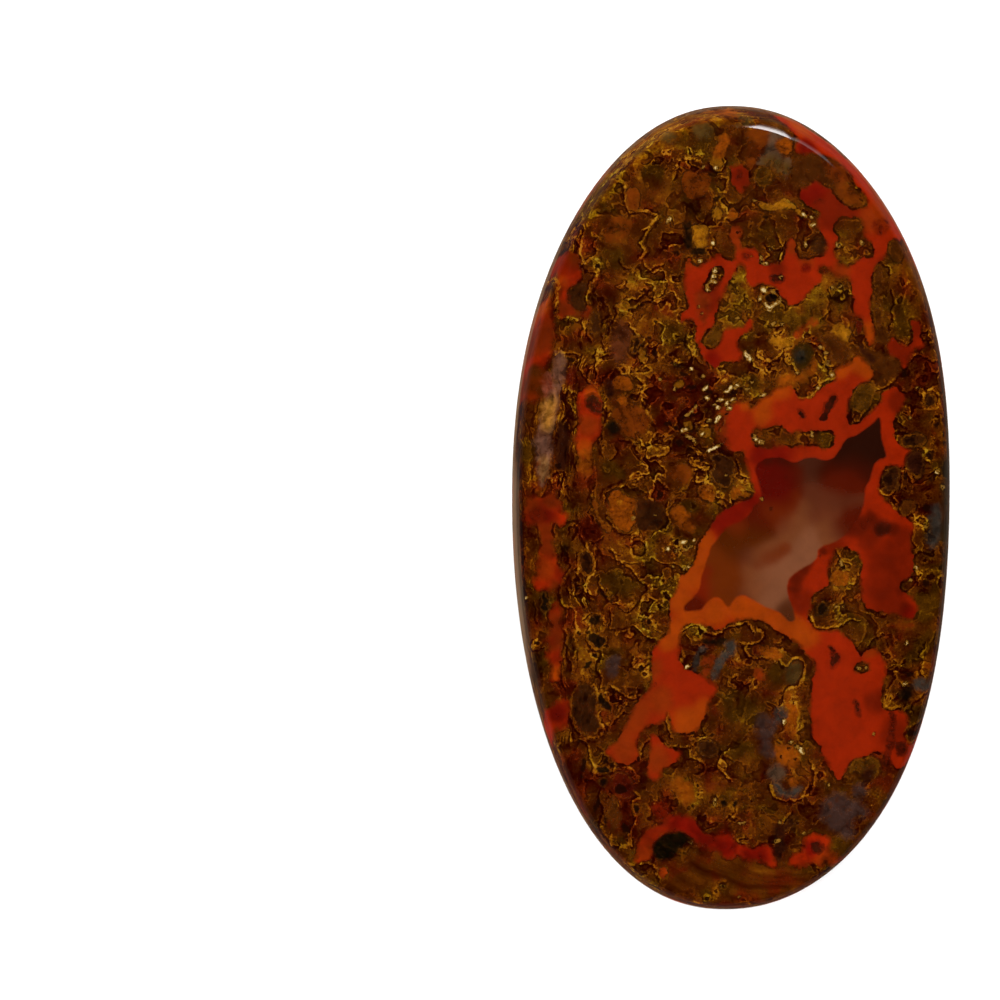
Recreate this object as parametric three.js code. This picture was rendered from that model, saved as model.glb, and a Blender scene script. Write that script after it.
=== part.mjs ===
// An oval agate cabochon: one polished stone with a low domed face, a rounded shoulder,
// a leaning side and a flat back. Millimetres, +Z up, +Y along the stone's length.
// The origin is the middle of the flat back, on the surface that the stone rests on.
import * as THREE from "three";

// Size of the whole stone
const length = 39.4;
const width = 21.4;
const height = 5.0;

// Shape of the oval, seen from above
const fullness = 2.16; // exponent of the outline: 2 is an ellipse, more is fuller
const taper = 0.011; // share by which the far end is wider than the middle
const lean = 0.006; // sideways shift of the long axis for each millimetre of length

// Shape of the edge, on a cut across the stone. Insets run inwards from the widest line.
const girdleHeight = 0.55; // the widest line, above the back
const bevelInset = 0.4; // the ground bevel between the back and the widest line
const bevelFullness = 0.1; // how far above the back the bevel's rounding turns upwards
const cornerInset = 0.36; // where side and dome would meet if the shoulder weren't rounded
const cornerHeight = 3.9;
const sideInset = 0.3; // where the side ends and the shoulder begins
const shoulderInset = 0.58; // where the shoulder ends and the dome begins
const farEndSpread = 2.2; // how much further in these lie at the far end than at the flanks
const nearEndSpread = 1.05; // the same at the near end, whose side is steeper

// Number of steps in each stretch of the cut, and round the stone
const domeSteps = 8;
const shoulderSteps = 7;
const sideSteps = 2;
const bevelSteps = 3;
const roundSteps = 128;

// The height at a given inset on the straight side
function sideHeight(inset) {
  return girdleHeight + ((cornerHeight - girdleHeight) * inset) / cornerInset;
}

// The cut from the middle of the back, round the edge, to the top of the dome.
// x is the distance from the middle across the stone, y the height.
function edgeProfile() {
  const half = width / 2;
  const domeEdge = half - shoulderInset;
  const cornerX = half - cornerInset;
  // The dome is a parabola whose slope at its edge points at the corner.
  const domeEdgeHeight = (height * (cornerX - domeEdge) + (cornerHeight * domeEdge) / 2)
    / (cornerX - domeEdge / 2);
  const backEdge = new THREE.Vector2(half - bevelInset, 0);
  const girdle = new THREE.Vector2(half, girdleHeight);
  const sideTop = new THREE.Vector2(half - sideInset, sideHeight(sideInset));
  const domeFoot = new THREE.Vector2(domeEdge, domeEdgeHeight);
  const top = new THREE.Vector2(0, height);
  const bevelTurn = new THREE.Vector2(half, bevelFullness);
  const shoulderTurn = new THREE.Vector2(cornerX, cornerHeight);
  const domeTurn = new THREE.Vector2(domeEdge / 2, height);
  const stretches = [
    [new THREE.QuadraticBezierCurve(backEdge, bevelTurn, girdle), bevelSteps],
    [new THREE.LineCurve(girdle, sideTop), sideSteps],
    [new THREE.QuadraticBezierCurve(sideTop, shoulderTurn, domeFoot), shoulderSteps],
    [new THREE.QuadraticBezierCurve(domeFoot, domeTurn, top), domeSteps],
  ];
  const points = [new THREE.Vector2(0, 0), backEdge];
  for (const [curve, steps] of stretches) points.push(...curve.getPoints(steps).slice(1));
  return points;
}

// The oval at an angle, moved inwards by inset along its own normal
function ovalPoint(angle, inset) {
  const halfWidth = width / 2;
  const halfLength = length / 2;
  const rounded = (value) => Math.sign(value) * Math.abs(value) ** (2 / fullness);
  const u = rounded(Math.cos(angle));
  const v = rounded(Math.sin(angle));
  const normal = new THREE.Vector2(
    (Math.sign(u) * Math.abs(u) ** (fullness - 1)) / halfWidth,
    (Math.sign(v) * Math.abs(v) ** (fullness - 1)) / halfLength,
  ).normalize();
  const y = halfLength * v - inset * normal.y;
  const x = (halfWidth * u - inset * normal.x) * (1 + taper * v) + lean * y;
  return new THREE.Vector2(x, y);
}

// Turns the cut round the stone: its outer stretches keep their inset from the oval,
// and the dome and the back shrink evenly to the middle.
function cabochonGeometry() {
  const domeEdge = width / 2 - shoulderInset;
  const geometry = new THREE.LatheGeometry(edgeProfile(), roundSteps);
  const position = geometry.getAttribute("position");
  for (let i = 0; i < position.count; i++) {
    const fromAxis = Math.hypot(position.getX(i), position.getZ(i));
    const angle = Math.atan2(position.getX(i), position.getZ(i));
    const above = position.getY(i);
    const endSpread = angle > 0 ? farEndSpread : nearEndSpread;
    const spread = 1 + (endSpread - 1) * Math.sin(angle) ** 2;
    const ringInset = (width / 2 - Math.max(fromAxis, domeEdge)) * spread;
    const share = Math.min(fromAxis / domeEdge, 1);
    const place = ovalPoint(angle, ringInset).multiplyScalar(share);
    position.setXYZ(i, place.x, place.y, above);
  }
  geometry.computeBoundingBox();
  const middle = geometry.boundingBox.getCenter(new THREE.Vector3());
  geometry.translate(-middle.x, -middle.y, 0);
  geometry.computeVertexNormals();
  return geometry;
}

const agate = new THREE.MeshStandardMaterial({
  color: "#6e2f0b",
  roughness: 0.12,
  metalness: 0,
});

const stone = new THREE.Group();
const cabochon = new THREE.Mesh(cabochonGeometry(), agate);
cabochon.name = "cabochon";
stone.add(cabochon);

export default stone;
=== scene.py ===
import math

import bmesh
import bpy
import numpy as np
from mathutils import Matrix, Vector, noise


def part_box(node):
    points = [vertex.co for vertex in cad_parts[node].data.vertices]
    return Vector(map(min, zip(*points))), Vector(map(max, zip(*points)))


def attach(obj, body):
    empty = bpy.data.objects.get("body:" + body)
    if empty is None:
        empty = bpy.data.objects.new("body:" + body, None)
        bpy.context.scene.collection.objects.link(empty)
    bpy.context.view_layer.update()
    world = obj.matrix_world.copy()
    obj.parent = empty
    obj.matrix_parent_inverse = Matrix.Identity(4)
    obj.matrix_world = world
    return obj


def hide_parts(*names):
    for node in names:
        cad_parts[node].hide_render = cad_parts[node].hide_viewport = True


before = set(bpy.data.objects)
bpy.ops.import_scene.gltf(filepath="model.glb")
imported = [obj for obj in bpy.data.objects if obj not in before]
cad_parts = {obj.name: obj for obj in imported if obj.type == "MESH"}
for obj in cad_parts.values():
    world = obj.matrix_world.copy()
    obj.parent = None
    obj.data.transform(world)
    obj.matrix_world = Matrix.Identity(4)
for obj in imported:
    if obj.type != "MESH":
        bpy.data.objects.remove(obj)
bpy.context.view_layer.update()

metre = 0.001  # one millimetre

# How the picture was taken. Marks are traced in the picture's pixels, so these also place them.
picture = {
    "side": 1000,
    "mmPerPixel": 0.0489,
    "stoneColumn": 731.4,  # pixel under which the middle of the stone lies
    "stoneRow": 507.6,
    "distance": 300.0,  # from the lens to the widest line of the stone
    "sensor": 36.0,
}

# The same cut and oval as the solid, in millimetres
stoneShape = {
    "fullness": 2.16,
    "taper": 0.011,
    "lean": 0.006,
    "swell": [  # small waves of the outline: how many round the stone, and their two depths
        (1, 0.013, -0.040), (2, 0.056, -0.020), (3, 0.006, -0.002),
        (4, -0.005, -0.010), (5, -0.048, 0.041), (6, -0.028, 0.006)],
    "girdleHeight": 0.55,
    "bevelInset": 0.4,
    "bevelFullness": 0.1,
    "cornerInset": 0.36,
    "cornerHeight": 3.9,
    "sideInset": 0.3,
    "shoulderInset": 0.58,
    "farEndSpread": 2.2,
    "nearEndSpread": 1.05,
    "gridAcross": 214,  # faces across and along the dome
    "gridAlong": 390,
    "shoulderSteps": 6,
    "sideSteps": 3,
    "bevelSteps": 2,
    "backInset": 1.6,  # one more ring on the flat back
    "trim": 0.028,  # how far the outline lies inside the plain oval
    "smoothAngle": 35,  # degrees
}

low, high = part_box("cabochon")
width, length, height = [(b - a) / metre for a, b in zip(low, high)]
cameraPlace = np.array([
    (picture["side"] / 2 - picture["stoneColumn"]) * picture["mmPerPixel"],
    (picture["stoneRow"] - picture["side"] / 2) * picture["mmPerPixel"],
    stoneShape["girdleHeight"] + picture["distance"],
])


# The stone's shape

def bezier(a, b, c, t):
    return tuple((1 - t) ** 2 * p + 2 * t * (1 - t) * q + t * t * r for p, q, r in zip(a, b, c))


def domeFoot(s):
    half = width / 2
    edge = half - s["shoulderInset"]
    corner = half - s["cornerInset"]
    rise = height * (corner - edge) + s["cornerHeight"] * edge / 2
    return edge, rise / (corner - edge / 2)


def edgeRings(s):
    # Inset and height of each ring, from the edge of the dome down to the back
    half = width / 2
    slope = (s["cornerHeight"] - s["girdleHeight"]) / s["cornerInset"]
    sideTop = (half - s["sideInset"], s["girdleHeight"] + slope * s["sideInset"])
    corner = (half - s["cornerInset"], s["cornerHeight"])
    girdle = (half, s["girdleHeight"])
    bevelTurn = (half, s["bevelFullness"])
    backEdge = (half - s["bevelInset"], 0.0)
    rings = [bezier(domeFoot(s), corner, sideTop, (i + 1) / s["shoulderSteps"])
             for i in range(s["shoulderSteps"])]
    for i in range(s["sideSteps"]):
        t = (i + 1) / s["sideSteps"]
        rings.append(tuple(a + (b - a) * t for a, b in zip(sideTop, girdle)))
    rings += [bezier(girdle, bevelTurn, backEdge, (i + 1) / s["bevelSteps"])
              for i in range(s["bevelSteps"])]
    rings.append((backEdge[0] - s["backInset"], 0.0))
    return [(half - x, z) for x, z in rings]


def ovalPoints(s, around, inset):
    # Points of the oval at these angles, moved inwards along its own normal
    u = np.sign(np.cos(around)) * np.abs(np.cos(around)) ** (2 / s["fullness"])
    v = np.sign(np.sin(around)) * np.abs(np.sin(around)) ** (2 / s["fullness"])
    nx = np.sign(u) * np.abs(u) ** (s["fullness"] - 1) / (width / 2)
    ny = np.sign(v) * np.abs(v) ** (s["fullness"] - 1) / (length / 2)
    size = np.hypot(nx, ny)
    endSpread = np.where(around > 0, s["farEndSpread"], s["nearEndSpread"])
    spread = inset * (1 + (endSpread - 1) * np.sin(around) ** 2) + s["trim"]
    for waves, even, odd in s["swell"]:
        spread = spread - even * np.cos(waves * around) - odd * np.sin(waves * around)
    y = length / 2 * v - spread * ny / size
    x = (width / 2 * u - spread * nx / size) * (1 + s["taper"] * v) + s["lean"] * y
    return x, y


def modelStone(s):
    bpy.ops.object.select_all(action="DESELECT")
    bpy.ops.mesh.primitive_grid_add(
        x_subdivisions=s["gridAcross"], y_subdivisions=s["gridAlong"], size=2)
    stone = bpy.context.object
    stone.name = stone.data.name = "polishedStone"
    mesh = stone.data

    # The square grid is rounded to a disc, and the disc is drawn out to the oval dome.
    flat = np.empty(len(mesh.vertices) * 3)
    mesh.vertices.foreach_get("co", flat)
    u, v = flat.reshape(-1, 3)[:, :2].T
    discX = u * np.sqrt(1 - v * v / 2)
    discY = v * np.sqrt(1 - u * u / 2)
    around = np.arctan2(discY, discX)
    share = np.hypot(discX, discY)
    footHeight = domeFoot(s)[1]
    x, y = ovalPoints(s, around, s["shoulderInset"])
    z = height - share ** 2 * (height - footHeight)
    placed = np.stack([x * share, y * share, z], axis=1) * metre
    mesh.vertices.foreach_set("co", placed.ravel())
    mesh.attributes.new("around", "FLOAT", "POINT").data.foreach_set("value", around)

    # The rim of the dome is drawn down over shoulder, side and bevel to the flat back.
    bpy.ops.object.mode_set(mode="EDIT")
    bpy.ops.mesh.select_mode(type="VERT")
    bpy.ops.mesh.select_all(action="DESELECT")
    bpy.ops.mesh.select_non_manifold(
        extend=False, use_wire=False, use_boundary=True,
        use_multi_face=False, use_non_contiguous=False, use_verts=False)
    for inset, ringHeight in edgeRings(s):
        bpy.ops.mesh.extrude_region_move()
        shaped = bmesh.from_edit_mesh(mesh)
        layer = shaped.verts.layers.float["around"]
        ring = [vertex for vertex in shaped.verts if vertex.select]
        x, y = ovalPoints(s, np.array([vertex[layer] for vertex in ring]), inset)
        for vertex, px, py in zip(ring, x, y):
            vertex.co = Vector((px, py, ringHeight)) * metre
        bmesh.update_edit_mesh(mesh)
    bpy.ops.mesh.edge_face_add()
    bpy.ops.mesh.select_all(action="SELECT")
    bpy.ops.mesh.normals_make_consistent(inside=False)
    bpy.ops.object.mode_set(mode="OBJECT")
    bpy.ops.object.shade_smooth_by_angle(angle=math.radians(s["smoothAngle"]))
    mesh.attributes.remove(mesh.attributes["around"])
    return stone


stone = modelStone(stoneShape)
print("stone:", len(stone.data.vertices), "points,", len(stone.data.polygons), "faces")


# The markings, traced in the picture's pixels. Outlines are column,row pairs.

# Red and orange jasper
jasper = {
    "greatRed": [857,356, 863,360, 869,366, 873,374, 868,380, 861,384, 855,388, 852,395, 849,403,
        848,412, 847,420, 851,426, 857,424, 863,420, 869,414, 875,408, 881,402, 883,395, 888,389,
        895,386, 901,391, 905,397, 903,404, 899,410, 895,416, 893,424, 894,432, 896,440, 902,447,
        910,450, 906,457, 904,464, 898,467, 890,465, 884,467, 881,474, 880,482, 878,490, 882,498,
        888,504, 894,510, 902,516, 911,521, 914,527, 911,534, 911,544, 913,555, 913,566, 912,575,
        905,580, 899,586, 903,592, 910,596, 915,602, 917,610, 913,618, 905,618, 897,614, 889,613,
        881,611, 873,611, 866,606, 863,598, 862,588, 861,577, 863,566, 859,555, 852,549, 843,547,
        836,549, 832,557, 829,566, 827,575, 829,582, 824,588, 816,592, 811,598, 811,606, 808,612,
        808,619, 812,626, 819,631, 829,631, 838,631, 846,637, 853,643, 857,650, 860,656, 864,653,
        870,649, 876,650, 882,655, 885,663, 886,672, 883,681, 882,690, 881,699, 884,708, 891,712,
        900,711, 906,715, 908,722, 905,730, 904,738, 908,744, 914,750, 909,762, 900,768, 893,765,
        889,758, 884,752, 878,752, 872,752, 866,756, 858,758, 851,761, 847,767, 843,774, 839,780,
        835,775, 831,768, 827,761, 822,756, 821,748, 816,742, 812,733, 812,722, 810,712, 811,700,
        812,690, 813,678, 816,668, 814,660, 808,654, 803,649, 799,644, 793,639, 787,636, 780,633,
        774,629, 769,624, 763,621, 755,620, 747,619, 739,620, 731,623, 725,627, 719,630, 711,627,
        703,625, 696,623, 689,624, 683,628, 680,634, 679,642, 680,650, 678,657, 681,664, 686,669,
        693,672, 700,676, 708,681, 716,686, 717,691, 712,696, 708,703, 706,711, 703,719, 699,727,
        691,732, 682,733, 674,730, 671,723, 670,715, 667,713, 664,719, 658,723, 650,724, 643,729,
        639,736, 637,745, 638,753, 636,760, 629,764, 621,764, 615,761, 610,756, 606,752, 612,746,
        617,740, 622,732, 627,724, 630,716, 633,709, 637,702, 643,696, 650,689, 653,678, 651,665,
        652,654, 656,646, 662,639, 669,633, 671,624, 670,612, 671,600, 676,592, 680,584, 681,577,
        686,573, 691,567, 696,561, 697,553, 699,546, 703,539, 708,532, 711,525, 716,519, 721,513,
        727,509, 735,504, 742,501, 749,498, 754,494, 754,487, 751,480, 750,472, 747,466, 745,458,
        744,451, 736,451, 729,450, 724,445, 722,438, 724,430, 725,421, 727,413, 733,406, 740,402,
        747,403, 751,409, 757,404, 762,399, 769,396, 776,391, 783,387, 790,386, 795,391, 799,399,
        806,399, 813,398, 816,393, 822,388, 830,383, 836,379, 836,372, 840,368, 846,366, 851,362],
    "northEast": [801,190, 806,188, 812,184, 817,181, 823,187, 831,191, 836,198, 842,204, 849,208,
        857,210, 865,208, 869,203, 867,197, 862,190, 857,184, 852,177, 847,169, 840,163, 832,158,
        825,156, 818,154, 811,153, 803,154, 797,151, 797,145, 800,140, 795,133, 790,125, 786,115,
        805,108, 850,135, 890,170, 915,215, 925,250, 904,244, 898,240, 892,240, 888,244, 886,252,
        883,259, 878,264, 874,270, 871,279, 872,290, 870,300, 870,312, 872,322, 874,332, 873,340,
        869,344, 866,338, 864,328, 862,318, 856,314, 853,307, 855,299, 853,290, 851,281, 848,276,
        840,276, 834,273, 829,266, 822,262, 826,254, 827,244, 824,236, 819,229, 818,221, 820,214,
        816,209, 811,206, 806,203, 800,197],
    "northNet": [720,254, 714,257, 708,261, 703,265, 697,267, 692,262, 688,259, 685,266, 685,274,
        684,284, 686,293, 688,300, 688,307, 683,313, 680,318, 682,322, 687,319, 693,319, 696,325,
        697,331, 696,337, 695,340, 698,345, 700,350, 702,355, 705,359, 708,362, 712,365, 715,368,
        718,366, 721,362, 726,361, 733,361, 738,360, 741,356, 741,352, 738,347, 737,343, 739,338,
        744,334, 749,330, 752,326, 752,322, 749,320, 746,324, 742,327, 736,328, 731,328, 725,330,
        723,334, 722,339, 719,345, 714,348, 708,349, 704,346, 701,342, 702,337, 705,333, 708,329,
        712,327, 714,322, 714,317, 717,310, 718,305, 719,298, 723,293, 726,286, 729,282, 733,275,
        736,267, 740,264, 744,266, 746,272, 747,278, 748,284, 752,287, 756,286, 759,284, 762,283,
        766,284, 770,285, 774,287, 778,290, 780,296, 786,299, 789,304, 796,304, 802,300, 806,295,
        810,291, 814,286, 819,283, 822,277, 819,272, 820,266, 826,263, 827,257, 820,258, 814,259,
        807,260, 800,259, 797,256, 796,250, 795,244, 793,239, 789,242, 786,246, 785,253, 785,258,
        782,263, 775,264, 769,265, 764,264, 759,263, 759,257, 758,252, 754,248, 747,248, 742,248,
        740,244, 740,239, 742,234, 740,228, 735,227, 731,230, 730,236, 733,242, 736,247, 736,254,
        736,259, 732,260, 725,259],
    "eastFork": [889,343, 893,338, 898,342, 904,346, 910,345, 913,338, 912,330, 911,322, 915,320,
        920,322, 921,330, 920,338, 924,344, 920,348, 913,351, 910,356, 908,362, 905,368, 902,366,
        900,360, 896,357, 891,356, 888,350],
    "northDrop": [730,168, 736,167, 741,164, 745,168, 748,175, 748,184, 744,188, 741,192, 736,187,
        731,182, 732,175],
    "westShoulder": [538,296, 547,294, 551,305, 551,318, 554,330, 552,345, 548,358, 546,368, 549,378,
        551,388, 547,396, 541,400, 534,402, 527,398, 520,385, 520,360, 526,330, 532,312],
    "northWestSkirt": [561,290, 566,288, 570,300, 574,309, 583,312, 588,306, 591,312, 588,319, 578,318,
        568,316, 560,317, 559,305],
    "westPatch": [527,500, 534,497, 542,498, 550,493, 556,498, 560,504, 561,512, 566,516, 565,523,
        559,526, 553,523, 551,531, 553,540, 553,548, 556,556, 558,565, 563,572, 562,580, 559,586,
        553,590, 545,588, 538,590, 534,583, 537,575, 538,566, 541,558, 541,548, 541,538, 540,530,
        536,524, 528,523, 525,515, 525,507],
    "westDrop": [582,392, 590,388, 597,391, 601,400, 601,412, 600,425, 598,436, 592,443, 588,455,
        583,458, 579,452, 577,440, 578,428, 581,418, 578,405, 579,396],
    "westColumn": [552,608, 557,605, 561,612, 560,622, 562,630, 563,640, 561,650, 560,662, 559,672,
        558,680, 552,681, 551,673, 551,663, 547,656, 549,648, 546,640, 550,632, 552,625, 549,618],
    "westBase": [549,708, 556,703, 563,700, 568,702, 569,712, 567,722, 561,728, 555,727, 551,735,
        540,736, 534,715],
    "northWest": [548,262, 560,248, 567,250, 573,253, 579,258, 580,268, 581,278, 576,284, 569,288,
        562,289, 559,282, 558,272, 553,266],
    "innerRed": [652,737, 658,738, 664,745, 670,748, 678,750, 680,754, 676,760, 668,765, 662,769,
        660,777, 655,780, 650,776, 648,768, 649,760, 651,750],
    "southArch": [636,860, 638,850, 640,840, 643,832, 650,828, 658,825, 664,821, 669,817, 677,815,
        685,815, 693,819, 698,824, 702,830, 708,834, 715,836, 721,834, 727,834, 732,838, 737,843,
        743,846, 750,848, 758,848, 765,845, 770,845, 772,850, 773,858, 776,866, 770,868, 764,863,
        757,861, 750,862, 744,859, 738,855, 733,857, 727,859, 722,855, 717,850, 710,849, 703,848,
        698,843, 693,838, 685,833, 676,831, 668,832, 661,836, 656,842, 652,850, 650,857, 644,861],
    "southEastFoot": [790,862, 793,856, 799,853, 804,848, 803,842, 806,837, 812,835, 820,834, 826,837,
        829,842, 829,849, 833,854, 838,859, 834,864, 826,863, 820,866, 810,864, 802,867, 795,866],
}

# What shows through the jasper: moss tufts and dark pits
jasperHoles = {
    "tuft": [836,221, 843,216, 852,217, 861,217, 863,224, 864,232, 869,240, 874,247, 874,254, 870,258,
        862,258, 857,262, 848,267, 840,264, 836,260, 834,252, 835,244, 838,238, 834,232, 833,226],
    "sugarPit": [716,266, 722,266, 725,272, 723,279, 719,285, 713,290, 708,293, 703,291, 704,284,
        707,277, 711,270],
    "crownTuft": [751,432, 757,427, 764,429, 770,426, 777,424, 785,427, 790,432, 797,430, 804,431,
        812,431, 822,431, 831,430, 835,436, 834,443, 829,449, 822,449, 814,446, 806,446, 797,446,
        790,448, 783,446, 775,447, 768,449, 762,447, 755,447, 751,440],
    "fleckedTuft": [854,665, 862,662, 870,665, 870,671, 863,673, 856,672],
}

# The clear window
windowOutline = [757,463, 763,460, 769,458, 776,457, 783,458, 789,461, 796,462, 803,459, 812,457,
    820,459, 828,460, 834,457, 839,450, 844,442, 849,437, 856,435, 862,431, 868,427, 874,422, 879,417,
    881,424, 881,434, 883,443, 885,451, 886,457, 879,460, 874,465, 872,472, 870,480, 866,487, 865,495,
    864,503, 862,511, 858,519, 853,526, 847,533, 840,539, 831,543, 823,546, 818,550, 817,557, 813,562,
    806,566, 799,570, 793,575, 788,581, 787,590, 789,599, 792,606, 794,613, 795,620, 789,622, 784,617,
    778,612, 771,609, 764,606, 757,602, 750,598, 744,595, 738,596, 733,601, 729,607, 725,604, 721,599,
    716,597, 711,599, 706,604, 701,610, 693,611, 685,611, 684,606, 690,600, 696,594, 700,587, 701,579,
    704,570, 706,562, 709,554, 711,547, 716,541, 720,535, 725,529, 731,525, 739,522, 746,517, 751,511,
    754,505, 760,500, 761,493, 759,485, 757,477, 755,470]

# Tones as the eye sees them, red, green and blue to 255
tones = {
    "scarlet": (142, 30, 2), "crimson": (106, 10, 2), "brick": (104, 21, 2), "ember": (152, 56, 2),
    "russet": (128, 40, 3), "rust": (100, 30, 3), "wine": (84, 8, 2), "liver": (80, 16, 2),
    "garnet": (111, 22, 2), "caramel": (99, 36, 3), "milk": (124, 72, 44), "tan": (98, 44, 22),
    "fawn": (88, 38, 19), "cinnamon": (104, 37, 8), "maroon": (72, 15, 3), "night": (38, 12, 4),
    "coffee": (46, 20, 4), "pitch": (16, 8, 3), "umber": (66, 29, 3), "toffee": (93, 37, 2),
    "amber": (122, 54, 2), "honey": (138, 84, 6), "olive": (70, 38, 3), "slate": (51, 43, 36),
    "violet": (55, 35, 29), "mauve": (98, 60, 42), "straw": (158, 102, 36), "rose": (120, 58, 38),
    "dusk": (98, 62, 46), "oxblood": (52, 12, 3), "smoke": (66, 28, 14), "bark": (78, 28, 1),
    "clay": (114, 59, 29), "ash": (78, 35, 13), "teal": (24, 26, 21), "moor": (13, 9, 2),
    "peat": (38, 23, 3), "haze": (68, 46, 16), "drab": (57, 38, 13), "pea": (106, 62, 3),
    # Among these, the pale rim tan is a painted reflection, the whisker tip partly one, and the hollow
    # dark serves both pits and painted shade
    "whiskerSheenTip": (134, 90, 48), "paintedRimSheen": (150, 116, 88), "pitAndPaintedShade": (24, 6, 2), "brass": (142, 98, 30),
    # The cream is a painted glint on the bright flecks
    "glintCream": (214, 186, 128), "fog": (80, 56, 38), "groundEdge": (150, 118, 86),
    # The two flank tones are painted light: a glare on the west side and shade on the east
    "paintedWestGlare": (84, 68, 48), "paintedEastShade": (44, 38, 24),
}

# Where each tone lies in the window and the jasper: column, row, reach
windowTones = {
    "wine": [(776,472,9), (779,487,10), (767,480,8), (785,498,5), (770,492,6)],
    "night": [(781,459,4), (768,461,3), (866,440,9), (876,430,8), (846,451,6), (856,445,7), (870,452,7),
        (838,457,4)],
    "oxblood": [(860,466,6), (850,461,5), (826,467,6), (866,475,4), (790,462,4), (838,466,4)],
    "smoke": [(810,466,5), (803,461,4), (817,461,4), (808,478,5)],
    "liver": [(752,517,6), (765,525,6), (755,510,5), (845,484,8), (857,481,6), (834,477,6), (798,480,4),
        (796,470,4), (850,515,5), (858,511,5), (844,526,5), (690,606,4), (697,602,3), (800,490,3)],
    "rust": [(780,517,6), (770,511,6), (790,505,5), (738,528,5), (796,495,3)],
    "bark": [(742,543,7), (755,534,7), (733,551,5), (766,534,4), (727,540,5)],
    "caramel": [(730,570,9), (715,583,6), (712,560,7), (722,593,5), (735,585,6), (728,600,3)],
    "garnet": [(703,588,5), (702,578,4), (708,570,3)],
    "cinnamon": [(772,556,4), (765,560,4), (779,552,3.5), (786,549,3), (758,565,3)],
    "fawn": [(812,497,6), (808,488,4), (830,499,5), (840,502,5), (852,502,4), (860,500,3), (814,508,5),
        (746,556,5), (744,598,4)],
    "tan": [(817,516,5), (823,510,5), (835,512,4), (785,526,4), (835,530,5)],
    "clay": [(801,520,6), (790,531,6), (823,527,5), (771,547,5), (757,559,6), (759,580,7), (750,590,5),
        (748,572,4), (806,507,4), (828,537,4)],
    "milk": [(806,545,6), (796,561,6), (775,584,9), (767,574,5), (785,572,6), (775,597,5), (810,533,4),
        (812,556,4)],
    "ash": [(790,605,4), (787,614,4), (783,608,3)],
}
jasperTones = {
    "ember": [(705,543,7), (698,560,8), (690,580,8), (680,600,8), (690,617,8), (715,612,9), (740,606,9),
        (760,613,9), (780,622,8), (795,630,8), (806,636,7), (762,414,7), (674,632,8), (668,645,5),
        (690,718,9), (702,706,6), (684,728,6), (857,364,7), (866,371,5), (842,372,5), (780,391,7),
        (765,401,6), (748,405,4), (868,332,6), (543,303,6), (585,448,5), (592,393,5), (556,672,5),
        (812,125,8)],
    "garnet": [(568,266,7), (556,661,7), (563,576,5)],
    "rust": [(555,622,8), (556,588,5), (556,641,7), (552,500,6), (530,505,6), (543,335,10), (563,308,6),
        (580,315,6), (530,402,5), (552,545,8), (545,530,8), (555,640,7), (534,345,6)],
    "russet": [(546,570,6), (562,281,4), (655,670,6), (662,700,8), (588,425,6), (640,708,7),
        (632,722,8), (622,740,8), (735,236,8), (690,262,5), (825,860,7), (842,271,6), (644,850,6),
        (656,760,8), (625,752,7), (795,248,5), (806,262,5), (870,220,8), (890,210,10), (870,650,5)],
    "scarlet": [(830,740,18), (825,700,14), (690,692,12), (790,415,14), (820,410,10), (735,350,10),
        (850,385,9), (860,290,12), (800,275,12), (745,425,9), (705,330,8), (875,490,8), (890,440,8),
        (820,570,8), (865,680,10), (700,270,8), (672,668,9), (870,250,8), (845,760,8)],
    "wine": [(706,839,6), (558,713,6), (547,516,5)],
    "crimson": [(735,515,8), (722,522,7), (750,500,7), (780,452,8), (760,455,6), (700,832,8),
        (725,848,8), (755,856,9), (690,829,5), (803,200,6), (818,192,7), (715,360,5), (812,849,5),
        (553,640,4), (680,824,8), (808,148,5), (908,612,5)],
    "brick": [(651,834,8), (643,846,5), (890,560,12), (885,590,12), (900,350,9), (800,600,8),
        (905,540,8), (892,605,8), (915,330,6), (878,700,8), (895,735,9), (741,178,7), (835,545,6),
        (868,540,6), (708,300,7), (778,268,5), (888,262,5), (900,400,7), (870,540,6), (830,208,12),
        (848,212,8), (895,570,14)],
    "umber": [(535,372,5), (542,391,5)],
    "bark": [(532,384,7), (546,374,5), (573,261,5)],
    "liver": [(537,515,7), (661,820,5), (795,588,4), (796,579,4), (802,571,3.5), (808,566,3.5),
        (823,552,3), (850,529,5), (862,530,6), (870,520,5), (859,521,4), (885,594,5), (889,562,5),
        (905,609,5), (897,592,3), (895,530,4)],
    "night": [(880,529,5), (888,529,3)],
}

# Kinds of moss: how light it is, its hue from rusty to green, and how crumbly it looks
mossKinds = {
    "goldCrumb": (0.62, 0.1, 0.9), "ochre": (0.58, 0.05, 0.35), "amberCalm": (0.52, -0.1, 0.15),
    "brownCrumb": (0.44, 0, 0.9), "brown": (0.4, 0, 0.35), "oliveCrumb": (0.46, 0.6, 1),
    "olive": (0.4, 0.7, 0.3), "oliveLight": (0.55, 0.8, 0.6), "darkGreen": (0.26, 0.9, 0.4),
    "darkUmber": (0.29, 0, 0.4), "coffeeCrumb": (0.24, -0.1, 0.9), "black": (0.1, 0.2, 0.8),
    "maroonDark": (0.22, -0.8, 0.5), "rustCrumb": (0.42, -0.5, 0.8), "rustCalm": (0.4, -0.7, 0.2),
    # the palest moss kind is pale moss with a painted reflection on it
    "streaked": (0.46, -0.3, 0.02), "sandSheen": (0.78, 0.2, 0.5), "oliveGold": (0.66, 0.35, 0.3),
}
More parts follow.
